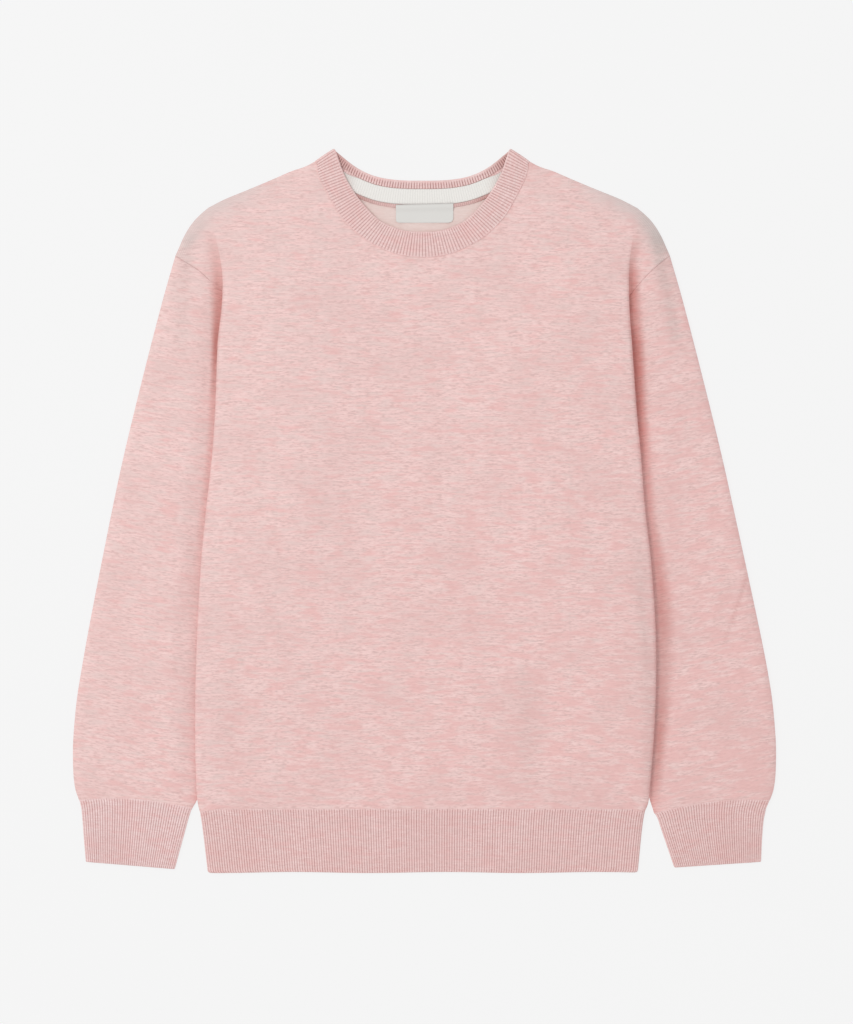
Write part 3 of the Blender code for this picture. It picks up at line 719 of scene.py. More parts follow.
class PanelSpots:
    """Where each point of a panel lies: how far from its folds and seams, and how high the cloth is there."""

    def __init__(self, plan, rise, ribs):
        self.x, self.y = x, y = plan.T
        self.fold, self.fold_in = shoulder_folds(plan)
        self.neck, self.arm = seams_near(plan, ribs)
        self.inside = by_side(x, BODY_EDGE, y) - np.abs(x)
        self.above_arm = y - arm_line(x)
        below = np.where(self.above_arm < 0, 1, smooth(1 - self.above_arm / SIDE_END))
        self.side_in = below * (self.inside >= -0.01)
        off_arm = smooth(self.arm / ARM_LOFT)
        loft = hem_loft(y) * smooth(self.fold / FOLD_LOFT) * smooth(self.neck / NECK_LOFT) * off_arm
        self.front = front_face(x, y, TUBE + rise + puff(x, y) + loft)
        width = mix(FOLD_WIDTH, SHOULDER_WIDTH, step(np.abs(x), *WIDE_OUT))
        self.turn = quarter(self.fold / width)
        self.side_turn = quarter(self.inside / FOLD_WIDTH)
        self.shoulder_middle = (TUBE + shoulder_rise(x) + puff(x, y)) / 2
        side_height = TUBE + by_side(x, PUFF, y) * rise_share(y) + hem_loft(y) * off_arm
        self.side_middle = side_height / 2 + LIFT * rise_share(y)


def front_layers(spot):
    """The front panel's outer and inner heights, its seams' grooves and its tones."""
    relief = (waves(spot.x, spot.y) + creases(spot.x, spot.y, FRONT_CREASES)) * smooth(spot.neck / NECK_FADE)
    relief = relief * quarter(spot.inside / SIDE_FADE) * quarter(spot.fold / FOLD_FADE)
    deep, dim = tones(spot.x, spot.y)
    sewn = seam_shows(spot.x, deep)
    face = mix(spot.shoulder_middle, spot.front + relief, spot.turn) + EDGE_APART + seam_dip(spot.arm) * sewn
    under = mix(spot.shoulder_middle, spot.front - WALL + relief, spot.turn)
    side_under = mix(under, spot.side_middle + EDGE_APART, (1 - spot.side_turn) * spot.side_in)
    under = np.where(spot.above_arm < SIDE_END, side_under, under)
    # Painted shade, with a greyer tinge of the cloth, along the shoulder's fold where it turns away from the
    # light.
    grey = FOLD_SHADE_GREYNESS * step(np.abs(spot.x), *GREY_OUT) * (1 - smooth(spot.fold / GREY_REACH))
    grey = grey * (1 - 0.7 * step(spot.y, *GREY_DOWN))
    grey = grey * (spot.x + 1800) / 1700  # a little more on the left side, farther from the lamp: painted shade
    return face, under, seam_shade(spot.arm) * sewn, at(deep, dim, grey)


def back_layers(spot):
    """The back panel's outer and inner heights. No seam or tone shows on it."""
    lift = back_lift(spot.x, spot.y)
    flat = np.maximum(np.minimum(lift, spot.front - TUBE), 0)
    side, shoulder = spot.side_middle - EDGE_APART, spot.shoulder_middle - EDGE_APART
    outer = mix(flat, mix(side, lift, spot.side_turn), spot.side_in)
    inner = mix(flat + WALL, mix(side, lift + WALL, spot.side_turn), spot.side_in)
    return mix(shoulder, outer, spot.turn), mix(shoulder, inner, spot.turn), 0.0, (0.0, 0.0, 0.0)


def body_panel(name, layers, ribs, spacing, finishes):
    """The front or back panel: one wall of cloth whose folded edges turn towards the other panel."""
    plan, rise, grids = panel_plan(ribs, spacing)
    spot = PanelSpots(plan, rise, ribs)
    face, under, groove, tone = layers(spot)
    from_fold = WALL * (1 - np.clip(spot.fold / FOLD_WIDTH, 0, 1))
    from_side = WALL * (1 - np.clip(spot.inside / FOLD_WIDTH, 0, 1)) * spot.side_in
    inner_x = spot.x + spot.fold_in[:, 0] * from_fold - np.sign(spot.x) * from_side
    inner_y = spot.y + spot.fold_in[:, 1] * from_fold
    droop = hem_droop(spot.x, spot.y)
    rim = np.where(np.abs(spot.x) > RIM_FROM, np.minimum(spot.fold, RIM_REACH), 0)
    cloth = Cloth()
    outer = cloth.add(at(spot.x, spot.y - droop, face), at(spot.x, spot.y, rim), groove, tone)
    inner = cloth.add(at(inner_x, inner_y - droop, under), plan, 0.0, tone)
    for grid in grids:
        cloth.join(outer[grid])
        cloth.join(inner[grid], look=len(finishes) - 1)
    for edge in panel_edges(grids):
        cloth.join(np.stack([outer[edge], inner[edge]]))
    return cloth.make(name, *finishes)


def panel_edges(grids):
    """The panel's edges, as rows of point numbers."""
    middle, right_cap, left_cap = grids
    arm_row = len(middle) - len(right_cap)
    edges = [middle[0], middle[-1], middle[: arm_row + 1, 0], middle[: arm_row + 1, -1]]
    for cap in (right_cap, left_cap):
        edges += [cap[0], cap[-1], cap[:, -1]]
    return edges


# ---------------------------------------------------------------- flattened tubes

DENSE_SHARES = finer_at_ends(600, 0.97)  # a section's points before it is divided evenly


def ring(place, width, top, bottom, wall, turn_width, upper_shares, lower_shares):
    """A closed section of a flattened tube, over the top and back below.

    place(share) gives x and y, and top and bottom give the outer heights at x and y. wall is how far
    inside the outer surface the ring lies, and turn_width how far in from its folds the cloth turns.
    """
    halves = []
    for above, share in ((True, upper_shares), (False, lower_shares)):
        x, y = place(share)
        upper, lower = top(x, y), bottom(x, y)
        middle = (upper + lower) / 2
        from_edge = np.minimum(share, 1 - share) * width
        turn = quarter(from_edge / turn_width)
        inward = wall * (1 - np.clip(from_edge / turn_width, 0, 1)) / width
        x, y = place(np.clip(share + np.where(share < 0.5, inward, -inward), 0, 1))
        face = upper - wall if above else lower + wall
        halves.append(at(x, y, mix(middle, face, turn))[:-1])
    return np.concatenate(halves)


def dense_rings(place, width, top, bottom, turn_width):
    """A section's outer and inner ring, with points so close that ribs can be divided from them."""
    shares = DENSE_SHARES, DENSE_SHARES[::-1]
    return [ring(place, width, top, bottom, wall, turn_width, *shares) for wall in (0, WALL)]


def turned_shares(edge_share, steps, middle):
    """Shares from 0 to 1 across a section whose cloth turns round in edge_share at both ends."""
    turn = edge_share * (1 - np.cos(np.linspace(0, math.pi / 2, steps, endpoint=False)))
    return np.concatenate([turn, np.linspace(edge_share, 1 - edge_share, middle), 1 - turn[::-1]])


def tube(name, outer, inner, places, grooves, inner_rows, finishes, tone=(0.0, 0.0, 0.0)):
    """A tube of cloth open at both ends. outer and inner are rows of rings with as many points each."""
    cloth = Cloth()
    outer_numbers = cloth.add(outer, places, grooves, tone)
    inner_tone = np.broadcast_to(tone, outer.shape)[inner_rows]
    inner_numbers = cloth.add(inner[inner_rows], places[inner_rows], 0.0, inner_tone)
    cloth.join(closed(outer_numbers))
    cloth.join(closed(inner_numbers), look=len(finishes) - 1)
    for end in (0, -1):
        cloth.join(closed(np.stack([outer_numbers[end], inner_numbers[end]])))
    return cloth.make(name, *finishes)


def inner_height(rows, row, side):
    """How high the inner edge of a sleeve or cuff lies, which is a little lower on the left side."""
    return between(rows, row, "inner_y") - (between(rows, row, "droop") if side > 0 else 0)


def sleeve_place(side, row):
    """Where a share across the sleeve lies at a row number of its table, and how wide the sleeve is there."""
    inner_y, outer_y = inner_height(SLEEVE_ROWS, row, side), between(SLEEVE_ROWS, row, "outer_y")
    outer = through(SLEEVE_OUTER, outer_y, "x"), outer_y
    inner = through(SLEEVE_INNER, inner_y, side_name(side)), inner_y
    curved, bow = between(SLEEVE_ROWS, row, "curve"), between(SLEEVE_ROWS, row, "bow")
    ends = armhole(side, 0), armhole(side, 1)

    def place(share):
        seam = armhole(side, share)
        x, y = (
            mix(outer[c], inner[c], share) + (seam[c] - mix(ends[0][c], ends[1][c], share)) * curved
            for c in (0, 1)
        )
        return side * x, y + 4 * share * (1 - share) * bow - SEAM_GAP * curved

    return place, math.dist(outer, inner)


def cuff_place(side, row):
    """The same across the cuff."""
    name = side_name(side)
    outer = between(CUFF_ROWS, row, name + "_outer"), between(CUFF_ROWS, row, "outer_y")
    inner = between(CUFF_ROWS, row, name + "_inner"), inner_height(CUFF_ROWS, row, side)
    bow = between(CUFF_ROWS, row, "bow")

    def place(share):
        x, y = mix(outer[0], inner[0], share), mix(outer[1], inner[1], share)
        return side * x, y + 4 * share * (1 - share) * bow

    return place, math.dist(outer, inner)


def sleeve_top(x, y):
    return TUBE + puff(x, y)


def cuff_top(x, y):
    ripple = CUFF_RIPPLE * np.sin(x / 11 + y / 17) * step(y, *RIPPLE_DOWN)
    return TUBE + puff(x, y) * step(y, *CUFF_PUFF) + ripple


def ground(x, y):
    return np.zeros(np.shape(x))


def limb_rows(rows, spacing, near):
    """Row numbers down a sleeve or cuff, about spacing apart, with near's distances kept at both ends."""
    fine = np.linspace(0, len(rows) - 1, 400)
    y = (between(rows, fine, "outer_y") + between(rows, fine, "inner_y")) / 2
    down = np.concatenate([[0], np.cumsum(-np.diff(y))])
    middle = np.arange(near[-1] + spacing, down[-1] - near[-1] - spacing / 2, spacing)
    distance = np.concatenate([near, middle, down[-1] - np.array(near[::-1])])
    return np.interp(distance, down, fine), distance


def sleeve_knitting(side, x, y, upper_count):
    """The sleeve's places in the knitting, whose rows slant, and go on round its outer fold."""
    slant = side * SLEEVE_ANGLE
    across = x * math.cos(slant) + y * math.sin(slant)
    along = y * math.cos(slant) - x * math.sin(slant)
    fold = across[:, [upper_count - 1]]
    is_upper = np.arange(x.shape[1]) < upper_count
    return at(np.where(is_upper, across, 2 * fold - across), along), is_upper


def sleeve(side, finishes):
    """A sleeve. Its section starts at the fold under the body, where its own seam is."""
    rows, down = limb_rows(SLEEVE_ROWS, SLEEVE_SPACING, (0, 0.4, 0.9, 1.5, 2.3, 3.4, 5))
    upper, lower = turned_shares(0.08, 8, 58)[::-1], turned_shares(0.08, 7, 16)
    lower = np.concatenate([lower[:-1], [1 - 1e-4, 1]])
    shape = sleeve_top, ground
    outer, inner = (
        np.stack([ring(*sleeve_place(side, r), *shape, wall, SLEEVE_WIDTH, upper, lower) for r in rows])
        for wall in (0, WALL)
    )
    x, y, _ = np.moveaxis(outer, 2, 0)
    places, is_upper = sleeve_knitting(side, x, y, len(upper))
    outside = np.abs(x) - by_side(x, BODY_EDGE, y)
    from_end = np.minimum(down, down[-1] - down)[:, None]
    relief = waves(x + 90, y - 40) + creases(x, y, SLEEVE_CREASES[side])
    relief = relief * step(outside, *BODY_FADE) * smooth(from_end / END_FADE)
    relief = relief * step(outer[:, :, 2] / sleeve_top(x, y), 0.5, 1)
    deep, dim = tones(x, y)
    sewn = seam_shows(x, deep)
    outer[:, :, 2] += np.where(is_upper, relief + seam_dip(down)[:, None] * sewn, 0)
    inner[:, :, 2] += np.where(is_upper, relief, 0)
    # painted shade along the pressed-in crease
    line = creases(x, y, SLEEVE_CREASE_SHADE)
    tone = at(deep + 0.4 * line, dim + 0.5 * line, 0) * is_upper[None, :, None]
    grooves = seam_shade(down)[:, None] * sewn
    name = "sleeve_" + side_name(side) + "_knit"
    return tube(name, outer, inner, places, grooves, np.arange(len(rows)), finishes, tone)


# ---------------------------------------------------------------- tubes of rib knit


def even_places(points, count):
    """Numbers of the places that divide a closed section evenly by its length, and that length."""
    length = lengths(np.concatenate([points, points[:1]]))
    return np.interp(np.arange(count) / count * length[-1], length, np.arange(len(points) + 1)), length[-1]


def pick(points, places):
    """Points at places between the numbered ones of a closed section."""
    looped = np.concatenate([points, points[:1]])
    numbers = np.arange(len(looped))
    return np.stack([np.interp(places, numbers, looped[:, n]) for n in range(3)], axis=1)


def ribbed_tube(name, sections, rib_count, down, finishes):
    """A tube of rib knit that goes on from the plain knit at its first ring, and ends in a rounded edge.

    sections are dense outer and inner rings, and down is how far each lies from the seam.
    """
    steps = np.arange(rib_count * RIB_STEPS)
    numbers = even_places(sections[0][0], len(steps))[0]
    outer, inner = (np.stack([pick(rings[n], numbers) for rings in sections]) for n in (0, 1))
    rib = steps // RIB_STEPS
    valley = valleys(steps)
    start = smooth((down[:, None] - START_SPREAD * uneven(rib, 1.0)) / RIB_START)
    depth = RIB_DEPTH * (1 + RIB_SPREAD * uneven(rib, 2.0)) * valley * start
    depth = depth + EDGE_ROUND * (1 - quarter((down[-1] - down)[:, None] / EDGE_REACH))
    toward = inner - outer
    toward /= np.maximum(np.linalg.norm(toward, axis=2, keepdims=True), 1e-6)
    places = at((steps / RIB_STEPS * HEM_RIB_PITCH)[None, :], -down[:, None])
    inner_rows = np.array([0, len(down) // 2, len(down) - 1])
    return tube(name, outer + toward * depth[..., None], inner, places, valley * start, inner_rows, finishes)


def cuff(side, finish):
    rows, down = limb_rows(CUFF_ROWS, 5.5, (0, 0.7, 1.5, 3))
    sections = [dense_rings(*cuff_place(side, row), cuff_top, ground, CUFF_WIDTH) for row in rows]
    return ribbed_tube("cuff_" + side_name(side) + "_rib", sections, 2 * CUFF_RIBS, down, [finish])


def hem_top(x, y):
    return TUBE + hem_loft(y) + front_lift(x, y) + waves(x, y) * step(y, *WAVES_UP)


def hem_place(distance, length):
    """Where a share across the hem lies at a distance below its seam, and how wide the hem is there."""
    y = HEM_TOP - SEAM_GAP - distance
    corner = HEM_CORNER * (1 - quarter((length - distance) / CORNER_REACH))
    right, left = (through(HEM_ROWS, y, name) - corner for name in ("right", "left"))

    def place(share):
        x = mix(-right, left, share)
        wavy = HEM_WAVE * np.sin(x / 23 + 0.7) * distance / length
        return x, y + wavy - hem_droop(x, y + np.zeros(np.shape(x)))

    return place, right + left


def hem(finish):
    down = np.array([0, 0.6, 1.2, 1.9, 2.8, 5, 9, 15, 22, 30, 38, 47, 55, 58.5, 59.8, 60.5, 61])
    sections = [dense_rings(*hem_place(d, down[-1]), hem_top, back_lift, FOLD_WIDTH) for d in down]
    around = even_places(sections[len(down) // 2][0], 8)[1]
    return ribbed_tube("hem_rib_knit", sections, round(around / HEM_RIB_PITCH), down, [finish])


# ---------------------------------------------------------------- neck


def band_points(k, angle, share, depth):
    """Points of the neckband at stations k along its left half, with a profile of shares and depths.

    angle is 90 on the front, -90 on the back, and between them where the band turns over at the neck
    point. share runs from the folded top edge to the seam, and depth in from the outer face.
    """
    in_x, in_y, out_x, out_y = (
        np.where(angle > -90, between(FRONT_RIBS, k, name), between(BACK_RIBS, k, name))[:, None]
        for name in ("in_x", "in_y", "out_x", "out_y")
    )
    rise = between(FRONT_RIBS, k, "rise")[:, None]
    turn = np.radians(angle)[:, None]
    x, y = mix(in_x, out_x, share), mix(in_y, out_y, share)
    length = np.hypot(out_x - in_x, out_y - in_y)
    reach = (FOLD_AXIS_Z - depth) * np.cos(turn) * (np.abs(turn) < math.radians(89.9))
    x = x - (out_y - in_y) / length * reach
    y = y + (out_x - in_x) / length * reach
    front_z = FRONT_BASE + rise + BAND - depth
    z = np.where(turn > math.radians(89.9), front_z, FOLD_AXIS_Z + (FOLD_AXIS_Z - depth) * np.sin(turn))
    return at(x, y, z)


def band_line(k, angle, share):
    """The length up to each station, along the line at a share of the band's width."""
    return lengths(band_points(k, angle, np.array([[share]]), np.array([[0.0]]))[:, 0])


def band_stations():
    """Stations of the band's left half from front to back, RIB_STEPS for each rib: steps, k and angle."""
    along, turning = 600, 60
    there = np.linspace(0, NECK_POINT, along)
    k = np.concatenate([there, np.full(turning, NECK_POINT), there[::-1]])
    angle = np.concatenate([np.full(along, 90), np.linspace(90, -90, turning), np.full(along, -90)])
    length = band_line(k, angle, 0.5)
    steps = np.arange(round(length[-1] / NECK_RIB_PITCH) * RIB_STEPS + 1)
    wanted = steps / steps[-1] * length[-1]
    return steps, np.interp(wanted, length, k), np.interp(wanted, length, angle)


def band_section(steps, k, angle):
    """The band's section at each step: shares of its width, depths from its outer face, grooves and tones.

    It goes from the seam over the outer face and the fold, and back along the inside.
    """
    rib = steps // RIB_STEPS
    valley = valleys(steps)[:, None]
    depth = (RIB_DEPTH * (1 + RIB_SPREAD * uneven(rib, 5.0)))[:, None]
    flat = np.zeros(valley.shape)

    outer_share = np.array([1, 0.985, 0.965, 0.94, 0.9, 0.82, 0.72, 0.6, 0.48, 0.36, 0.26, 0.17, 0.1, 0.07])
    from_seam = (1 - outer_share) * BAND_WIDTH - 0.4 * uneven(rib, 3.0)[:, None]
    outer_rib = smooth(from_seam / 1.1) * step(outer_share, -0.01, 0.07)
    bulge = BAND_BULGE * step(angle, -90, -30)[:, None] * np.sin(math.pi * outer_share) ** 0.7
    outer = depth * valley * outer_rib - bulge
    turn = np.linspace(0, math.pi, 9)
    edge = BAND / 2 * (1 - np.cos(turn)) + flat
    inner_share = np.array([0.08, 0.12, 0.17, 0.23, 0.28, 0.298])
    inner_rib = step(inner_share, 0.05, 0.1)
    inner = BAND - 1.25 * depth * valley * inner_rib
    behind = step(angle, 60, 0)[:, None]
    layer = mix(BAND - 0.1, BAND_LAYER, behind)
    layer_share = np.array([0.3, 0.3, 0.65, 1.0])

    face_shares = np.concatenate([outer_share, 0.055 * (1 - np.sin(turn)), inner_share, layer_share])
    shares = face_shares + flat
    layer_top = np.minimum(inner[:, -1:], layer + 1.2)
    depths = np.concatenate([outer, edge, inner, layer_top, layer, layer, layer], axis=1)
    at_fold, at_layer = np.linspace(0.9, 0, len(turn)) ** 1.5, np.ones(len(layer_share))
    sunk = [outer_rib, at_fold + flat, inner_rib * 1.6 + flat, at_layer + flat]
    grooves = valley * np.concatenate(sunk, axis=1)
    # The inside of the band's back half lies in the neck's shade, more so near the neck points.
    inward = [0 * outer_share, np.linspace(0, 1, len(turn)), np.ones(len(inner_share)), 0 * layer_share]
    shaded = np.concatenate(inward) * behind * step(k, *BAND_SHADE)[:, None]
    return shares, depths, grooves, at(0.45 * shaded, 0.85 * shaded, 0)


def neckband(finish):
    """The folded band of rib knit: its left half, and the same mirrored."""
    steps, k, angle = band_stations()
    shares, depths, grooves, tone = band_section(steps, k, angle)
    cloth = Cloth()
    left = band_points(k, angle, shares, depths)
    places = at((steps / RIB_STEPS * NECK_RIB_PITCH)[:, None], -shares * BAND_WIDTH)
    left_numbers = cloth.add(left, places, grooves, tone)
    rest = slice(1, -1)  # the middles of the front and the back are on the left half already
    right, right_places = left[rest] * (-1, 1, 1), places[rest] * (-1, 1)
    right_numbers = cloth.add(right, right_places, grooves[rest], tone[rest])
    whole = np.concatenate([left_numbers, right_numbers[::-1]])
    cloth.join(closed(closed(whole.T).T))
    return cloth.make("neckband_rib", finish)


def neck_strip(name, strip, finish):
    """A strip inside the back neck, with ribs of its own. Its ends lie in deeper shade than its middle."""
    start, end = strip.start, strip.end
    dense = np.linspace(0, STRIP_END, 300)
    length = band_line(dense, np.full(len(dense), -90), (start + end) / 2)
    last = round(length[-1] / strip.pitch) * RIB_STEPS
    steps = np.arange(-last, last + 1)
    k = np.interp(np.abs(steps) / last * length[-1], length, dense)
    valley = valleys(steps)[:, None]
    face_share = mix(start, end, finer_at_ends(10, 0.6))
    crown = quarter(np.minimum(face_share - start, end - face_share) * BAND_WIDTH / 0.9)
    face = strip.base + strip.thick * (0.5 + 0.5 * crown) - strip.depth * valley * crown
    shares = np.concatenate([face_share, [end, start]])
    depths = np.concatenate([face, np.full((len(k), 2), strip.base)], axis=1)
    narrowed = strip.narrowing * step(k, NARROW_FROM, STRIP_END)[:, None]
    shares = shares + narrowed * (end - shares) / (end - start)
    points = band_points(k, np.full(len(k), -90), shares, depths)
    points[:, :, 0] *= np.where(steps < 0, -1, 1)[:, None]
    places = at((steps / RIB_STEPS * strip.pitch)[:, None], -shares * BAND_WIDTH)
    grooves = np.concatenate([valley * crown, np.zeros((len(k), 2))], axis=1)
    shaded = strip.shade + strip.more_shade * step(k, strip.shade_from, STRIP_END)[:, None]
    cloth = Cloth()
    numbers = cloth.add(points, places, grooves, at(0.6 * shaded, 1.4 * shaded, 0))
    cloth.join(closed(numbers))
    for row in (0, -1):
        half = len(numbers[row]) // 2
        cloth.join(np.stack([numbers[row][:half], numbers[row][::-1][:half]]))
    return cloth.make(name, finish)


def label(finish):
    """A small woven label, sewn on along its top over the tape. Its lower corners stand off the cloth."""
    s = finer_at_ends(30, 0.7)[None, :] * 2 - 1
    share = finer_at_ends(16, 0.7)[:, None]
    down = share * (LABEL_TOP - LABEL_BOTTOM)
    from_bottom = LABEL_TOP - LABEL_BOTTOM - down
    corner = np.where(s > 0, *LABEL_CORNERS)
    cut = corner - np.sqrt(np.maximum(corner**2 - np.maximum(corner - from_bottom, 0) ** 2, 0))
    x = s * (LABEL_WIDTH / 2 - cut)
    y = LABEL_TOP - down + LABEL_TILT * x * (1 - share)
    over_tape, on_back = WALL + TAPE.thick + 2 * REST_GAP, WALL + REST_GAP
    z = mix(over_tape, on_back, step(down, *LABEL_STEP))
    z = z + LABEL_CURL * np.abs(s) ** 3 * step(down, *CURL_DOWN) + 0.12 * np.sin(x / 7) * smooth(down / 10)
    z = z + 0.25 * bell(down / 0.7)  # the turned-in top
    cloth = Cloth()
    # the row of sewing along the top, which also paints the shadow under the facing's edge
    stitched = bell(down / 0.5) + np.zeros(x.shape)
    top = cloth.add(at(x + LABEL_X, y, z + LABEL), at(x, y), stitched)
    low = cloth.add(at(x + LABEL_X, y, z), at(x, y))
    cloth.join(top)
    cloth.join(low)
    for edge in (np.s_[0], np.s_[-1], np.s_[:, 0], np.s_[:, -1]):
        cloth.join(np.stack([top[edge], low[edge]]))
    return cloth.make("label_blank", finish)


# ---------------------------------------------------------------- materials

Yarn = namedtuple("Yarn", "deep middle pale grey")
KNIT = Yarn((0.752, 0.508, 0.485), (0.886, 0.618, 0.594), (0.942, 0.685, 0.661), (0.803, 0.630, 0.601))
RIB = Yarn((0.800, 0.540, 0.518), (0.865, 0.612, 0.592), (0.930, 0.690, 0.670), (0.810, 0.630, 0.602))
NECK_RIB = Yarn((0.784, 0.540, 0.518), (0.848, 0.612, 0.592), (0.912, 0.690, 0.670), (0.794, 0.630, 0.602))
PALE_RIB = Yarn((0.806, 0.564, 0.546), (0.872, 0.638, 0.624), (0.937, 0.718, 0.704), (0.816, 0.656, 0.634))
CREAM = Yarn((0.785, 0.615, 0.570), (0.830, 0.675, 0.635), (0.880, 0.735, 0.695), (0.800, 0.665, 0.615))
BLUSH = (0.862, 0.505, 0.484)  # the pinker patches of the yarn
# painted shade in the valleys of ribs and seams, with some of the yarn's deeper pink
GROOVE_SHADE_PINK = (0.510, 0.305, 0.295)
# painted shade: the deeper pink of the crease beside the body
HOLLOW_SHADE_TINT = (0.82, 0.49, 0.46)
# painted shade: how the cloth is dimmed in creases, dents and where it turns away
DIM_SHADE_TINT = (0.78, 0.84, 0.83)
# partly painted shade: the grey along the shoulder's fold
SHOULDER_SHADE_GREY = (0.712, 0.616, 0.594)
# the facing's white, and the painted shade in its rib valleys
WHITE_DEEP, WHITE_PALE, WHITE_GROOVE_SHADE = (0.822, 0.800, 0.766), (0.888, 0.865, 0.830), (0.550, 0.545, 0.520)
SATIN_DEEP, SATIN_PALE, SEWING_AND_SHADE_GREY = (0.668, 0.655, 0.627), (0.748, 0.734, 0.706), (0.36, 0.33, 0.32)
RIM_PITCH, RIM_CONTRAST = 1.75, 0.3
# Layers of noise: the size of their flecks across and along, their detail, a shift, and their weight.
NOISE = "across along detail shift weight"
FLECKS = table(NOISE, (4.5, 1.12, 2, 0, 0.48), (10, 1.6, 1.5, 19, 0.32), (20, 3, 1, 31, 0.2))
PINK_STREAKS = table(NOISE, (19, 4.2, 1, 77, 0.65), (32, 15, 1, 41, 0.35))
GREY_SHARE, BLUSH_SHARE, MOTTLE_SHARE = 0.5, 0.64, 0.26


def node(tree, kind, inputs=(), **settings):
    """Adds a node. inputs maps its sockets to values or to other nodes' outputs."""
    made = tree.nodes.new("ShaderNode" + kind)
    for key, value in settings.items():
        setattr(made, key, value)
    for key, value in dict(inputs).items():
        if isinstance(value, bpy.types.NodeSocket):
            tree.links.new(value, made.inputs[key])
        else:
            made.inputs[key].default_value = value
    return made


def blank_material(name, roughness, sheen, specular):
    made = bpy.data.materials.new(name)
    made.use_nodes = True
    shader = made.node_tree.nodes["Principled BSDF"]
    shader.inputs["Roughness"].default_value = roughness
    shader.inputs["Sheen Weight"].default_value = sheen
    shader.inputs["Sheen Roughness"].default_value = 0.6
    shader.inputs["Specular IOR Level"].default_value = specular
    return made, made.node_tree, shader


def from_cloth(tree):
    """The cloth's place in the knitting, and how deep in a rib or seam it lies."""
    cloth = node(tree, "Attribute", attribute_name="cloth").outputs["Vector"]
    return cloth, node(tree, "Attribute", attribute_name="groove").outputs["Fac"]


def noise(tree, cloth, across, along, detail, offset=0.0):
    """Noise whose flecks are so many millimetres across and along the knitting."""
    scaled = node(tree, "Mapping", {
        "Vector": cloth,
        "Location": (offset, offset / 2, 0),
        "Scale": (1 / (across * MM), 1 / (along * MM), 1),
    })
    settings = {"Vector": scaled.outputs[0], "Scale": 1.0, "Detail": detail, "Roughness": 0.55}
    return node(tree, "TexNoise", settings, noise_dimensions="2D").outputs["Fac"]


def calc(tree, operation, *values):
    return node(tree, "Math", dict(enumerate(values)), operation=operation).outputs[0]


def layered(tree, cloth, rows):
    """The sum of layers of noise, each times its weight."""
    total = calc(tree, "MULTIPLY", noise(tree, cloth, *rows[0][:-1]), rows[0].weight)
    for row in rows[1:]:
        total = calc(tree, "MULTIPLY_ADD", noise(tree, cloth, *row[:-1]), row.weight, total)
    return total


def part_of(tree, value, share):
    return calc(tree, "MULTIPLY", value, share)


def mixed(tree, share, a, b, blend="MIX"):
    """Two colours in one. A colour is another node's output, or three numbers."""
    a, b = (colour if isinstance(colour, bpy.types.NodeSocket) else (*colour, 1) for colour in (a, b))
    return node(tree, "Mix", {0: share, 6: a, 7: b}, data_type="RGBA", blend_type=blend).outputs[2]


def ramped(tree, value, low, high):
    """0 where the value is low or less, and 1 where it is high or more."""
    return node(tree, "MapRange", {0: value, 1: low, 2: high, 3: 0.0, 4: 1.0}).outputs[0]


def finished(made, tree, shader, colour, height, strength, depth):
    """Puts the colour and the relief, so many millimetres deep, on a material's shader."""
    tree.links.new(colour, shader.inputs["Base Color"])
    relief = node(tree, "Bump", {"Strength": strength, "Distance": depth * MM, "Height": height})
    tree.links.new(relief.outputs[0], shader.inputs["Normal"])
    return made


def slanted(tree, cloth):
    """The cloth's place with the rows of stitches bent a little up and down."""
    drift = noise(tree, cloth, 60, 45, 1, 7)
    bend = calc(tree, "MULTIPLY_ADD", drift, 1.8 * MM, -0.9 * MM)
    shift = node(tree, "CombineXYZ", {"Y": bend}).outputs[0]
    return node(tree, "VectorMath", {0: cloth, 1: shift}, operation="ADD").outputs[0]


def stitches(tree, cloth, wale, course):
    """The height of plain knit: columns of stitches whose two legs slant together."""
    cells = node(tree, "Mapping", {"Vector": cloth, "Scale": (1 / (wale * MM), 1 / (course * MM), 1)})
    split = node(tree, "SeparateXYZ", {0: cells.outputs[0]})
    across, along = split.outputs[0], split.outputs[1]
    lean = calc(tree, "MULTIPLY_ADD", calc(tree, "PINGPONG", across, 0.5), 1.6, along)
    loop = calc(tree, "SINE", calc(tree, "MULTIPLY", lean, 2 * math.pi))
    column = calc(tree, "ABSOLUTE", calc(tree, "SINE", calc(tree, "MULTIPLY", across, 2 * math.pi)))
    return calc(tree, "MULTIPLY", column, calc(tree, "MULTIPLY_ADD", loop, 0.3, 0.7))


def toned(tree, colour, dimmer=0.0):
    """Paints shade into a colour, as the cloth's tone says: deeper pink in hollows, dimmer, and greyer along
    the shoulder's fold (partly the cloth's own tinge).
    """
    tone = node(tree, "SeparateXYZ", {0: node(tree, "Attribute", attribute_name="tone").outputs["Vector"]})
    deep, dim, grey = tone.outputs[0], tone.outputs[1], tone.outputs[2]
    colour = mixed(tree, grey, colour, SHOULDER_SHADE_GREY)
    colour = mixed(tree, deep, colour, HOLLOW_SHADE_TINT, "MULTIPLY")
    return mixed(tree, calc(tree, "ADD", dim, dimmer), colour, DIM_SHADE_TINT, "MULTIPLY")


def rim_lines(tree, cloth):
    """The fine lines along the shoulder's fold. The cloth's third number is how far away the fold is."""
    away = node(tree, "SeparateXYZ", {0: cloth}).outputs[2]
    lines = calc(tree, "SINE", calc(tree, "MULTIPLY", away, 2 * math.pi / (RIM_PITCH * MM)))
    near = node(tree, "MapRange", {0: away, 1: 3 * MM, 2: RIM_REACH * MM, 3: RIM_CONTRAST, 4: 0.0}).outputs[0]
    return calc(tree, "MULTIPLY", lines, near)


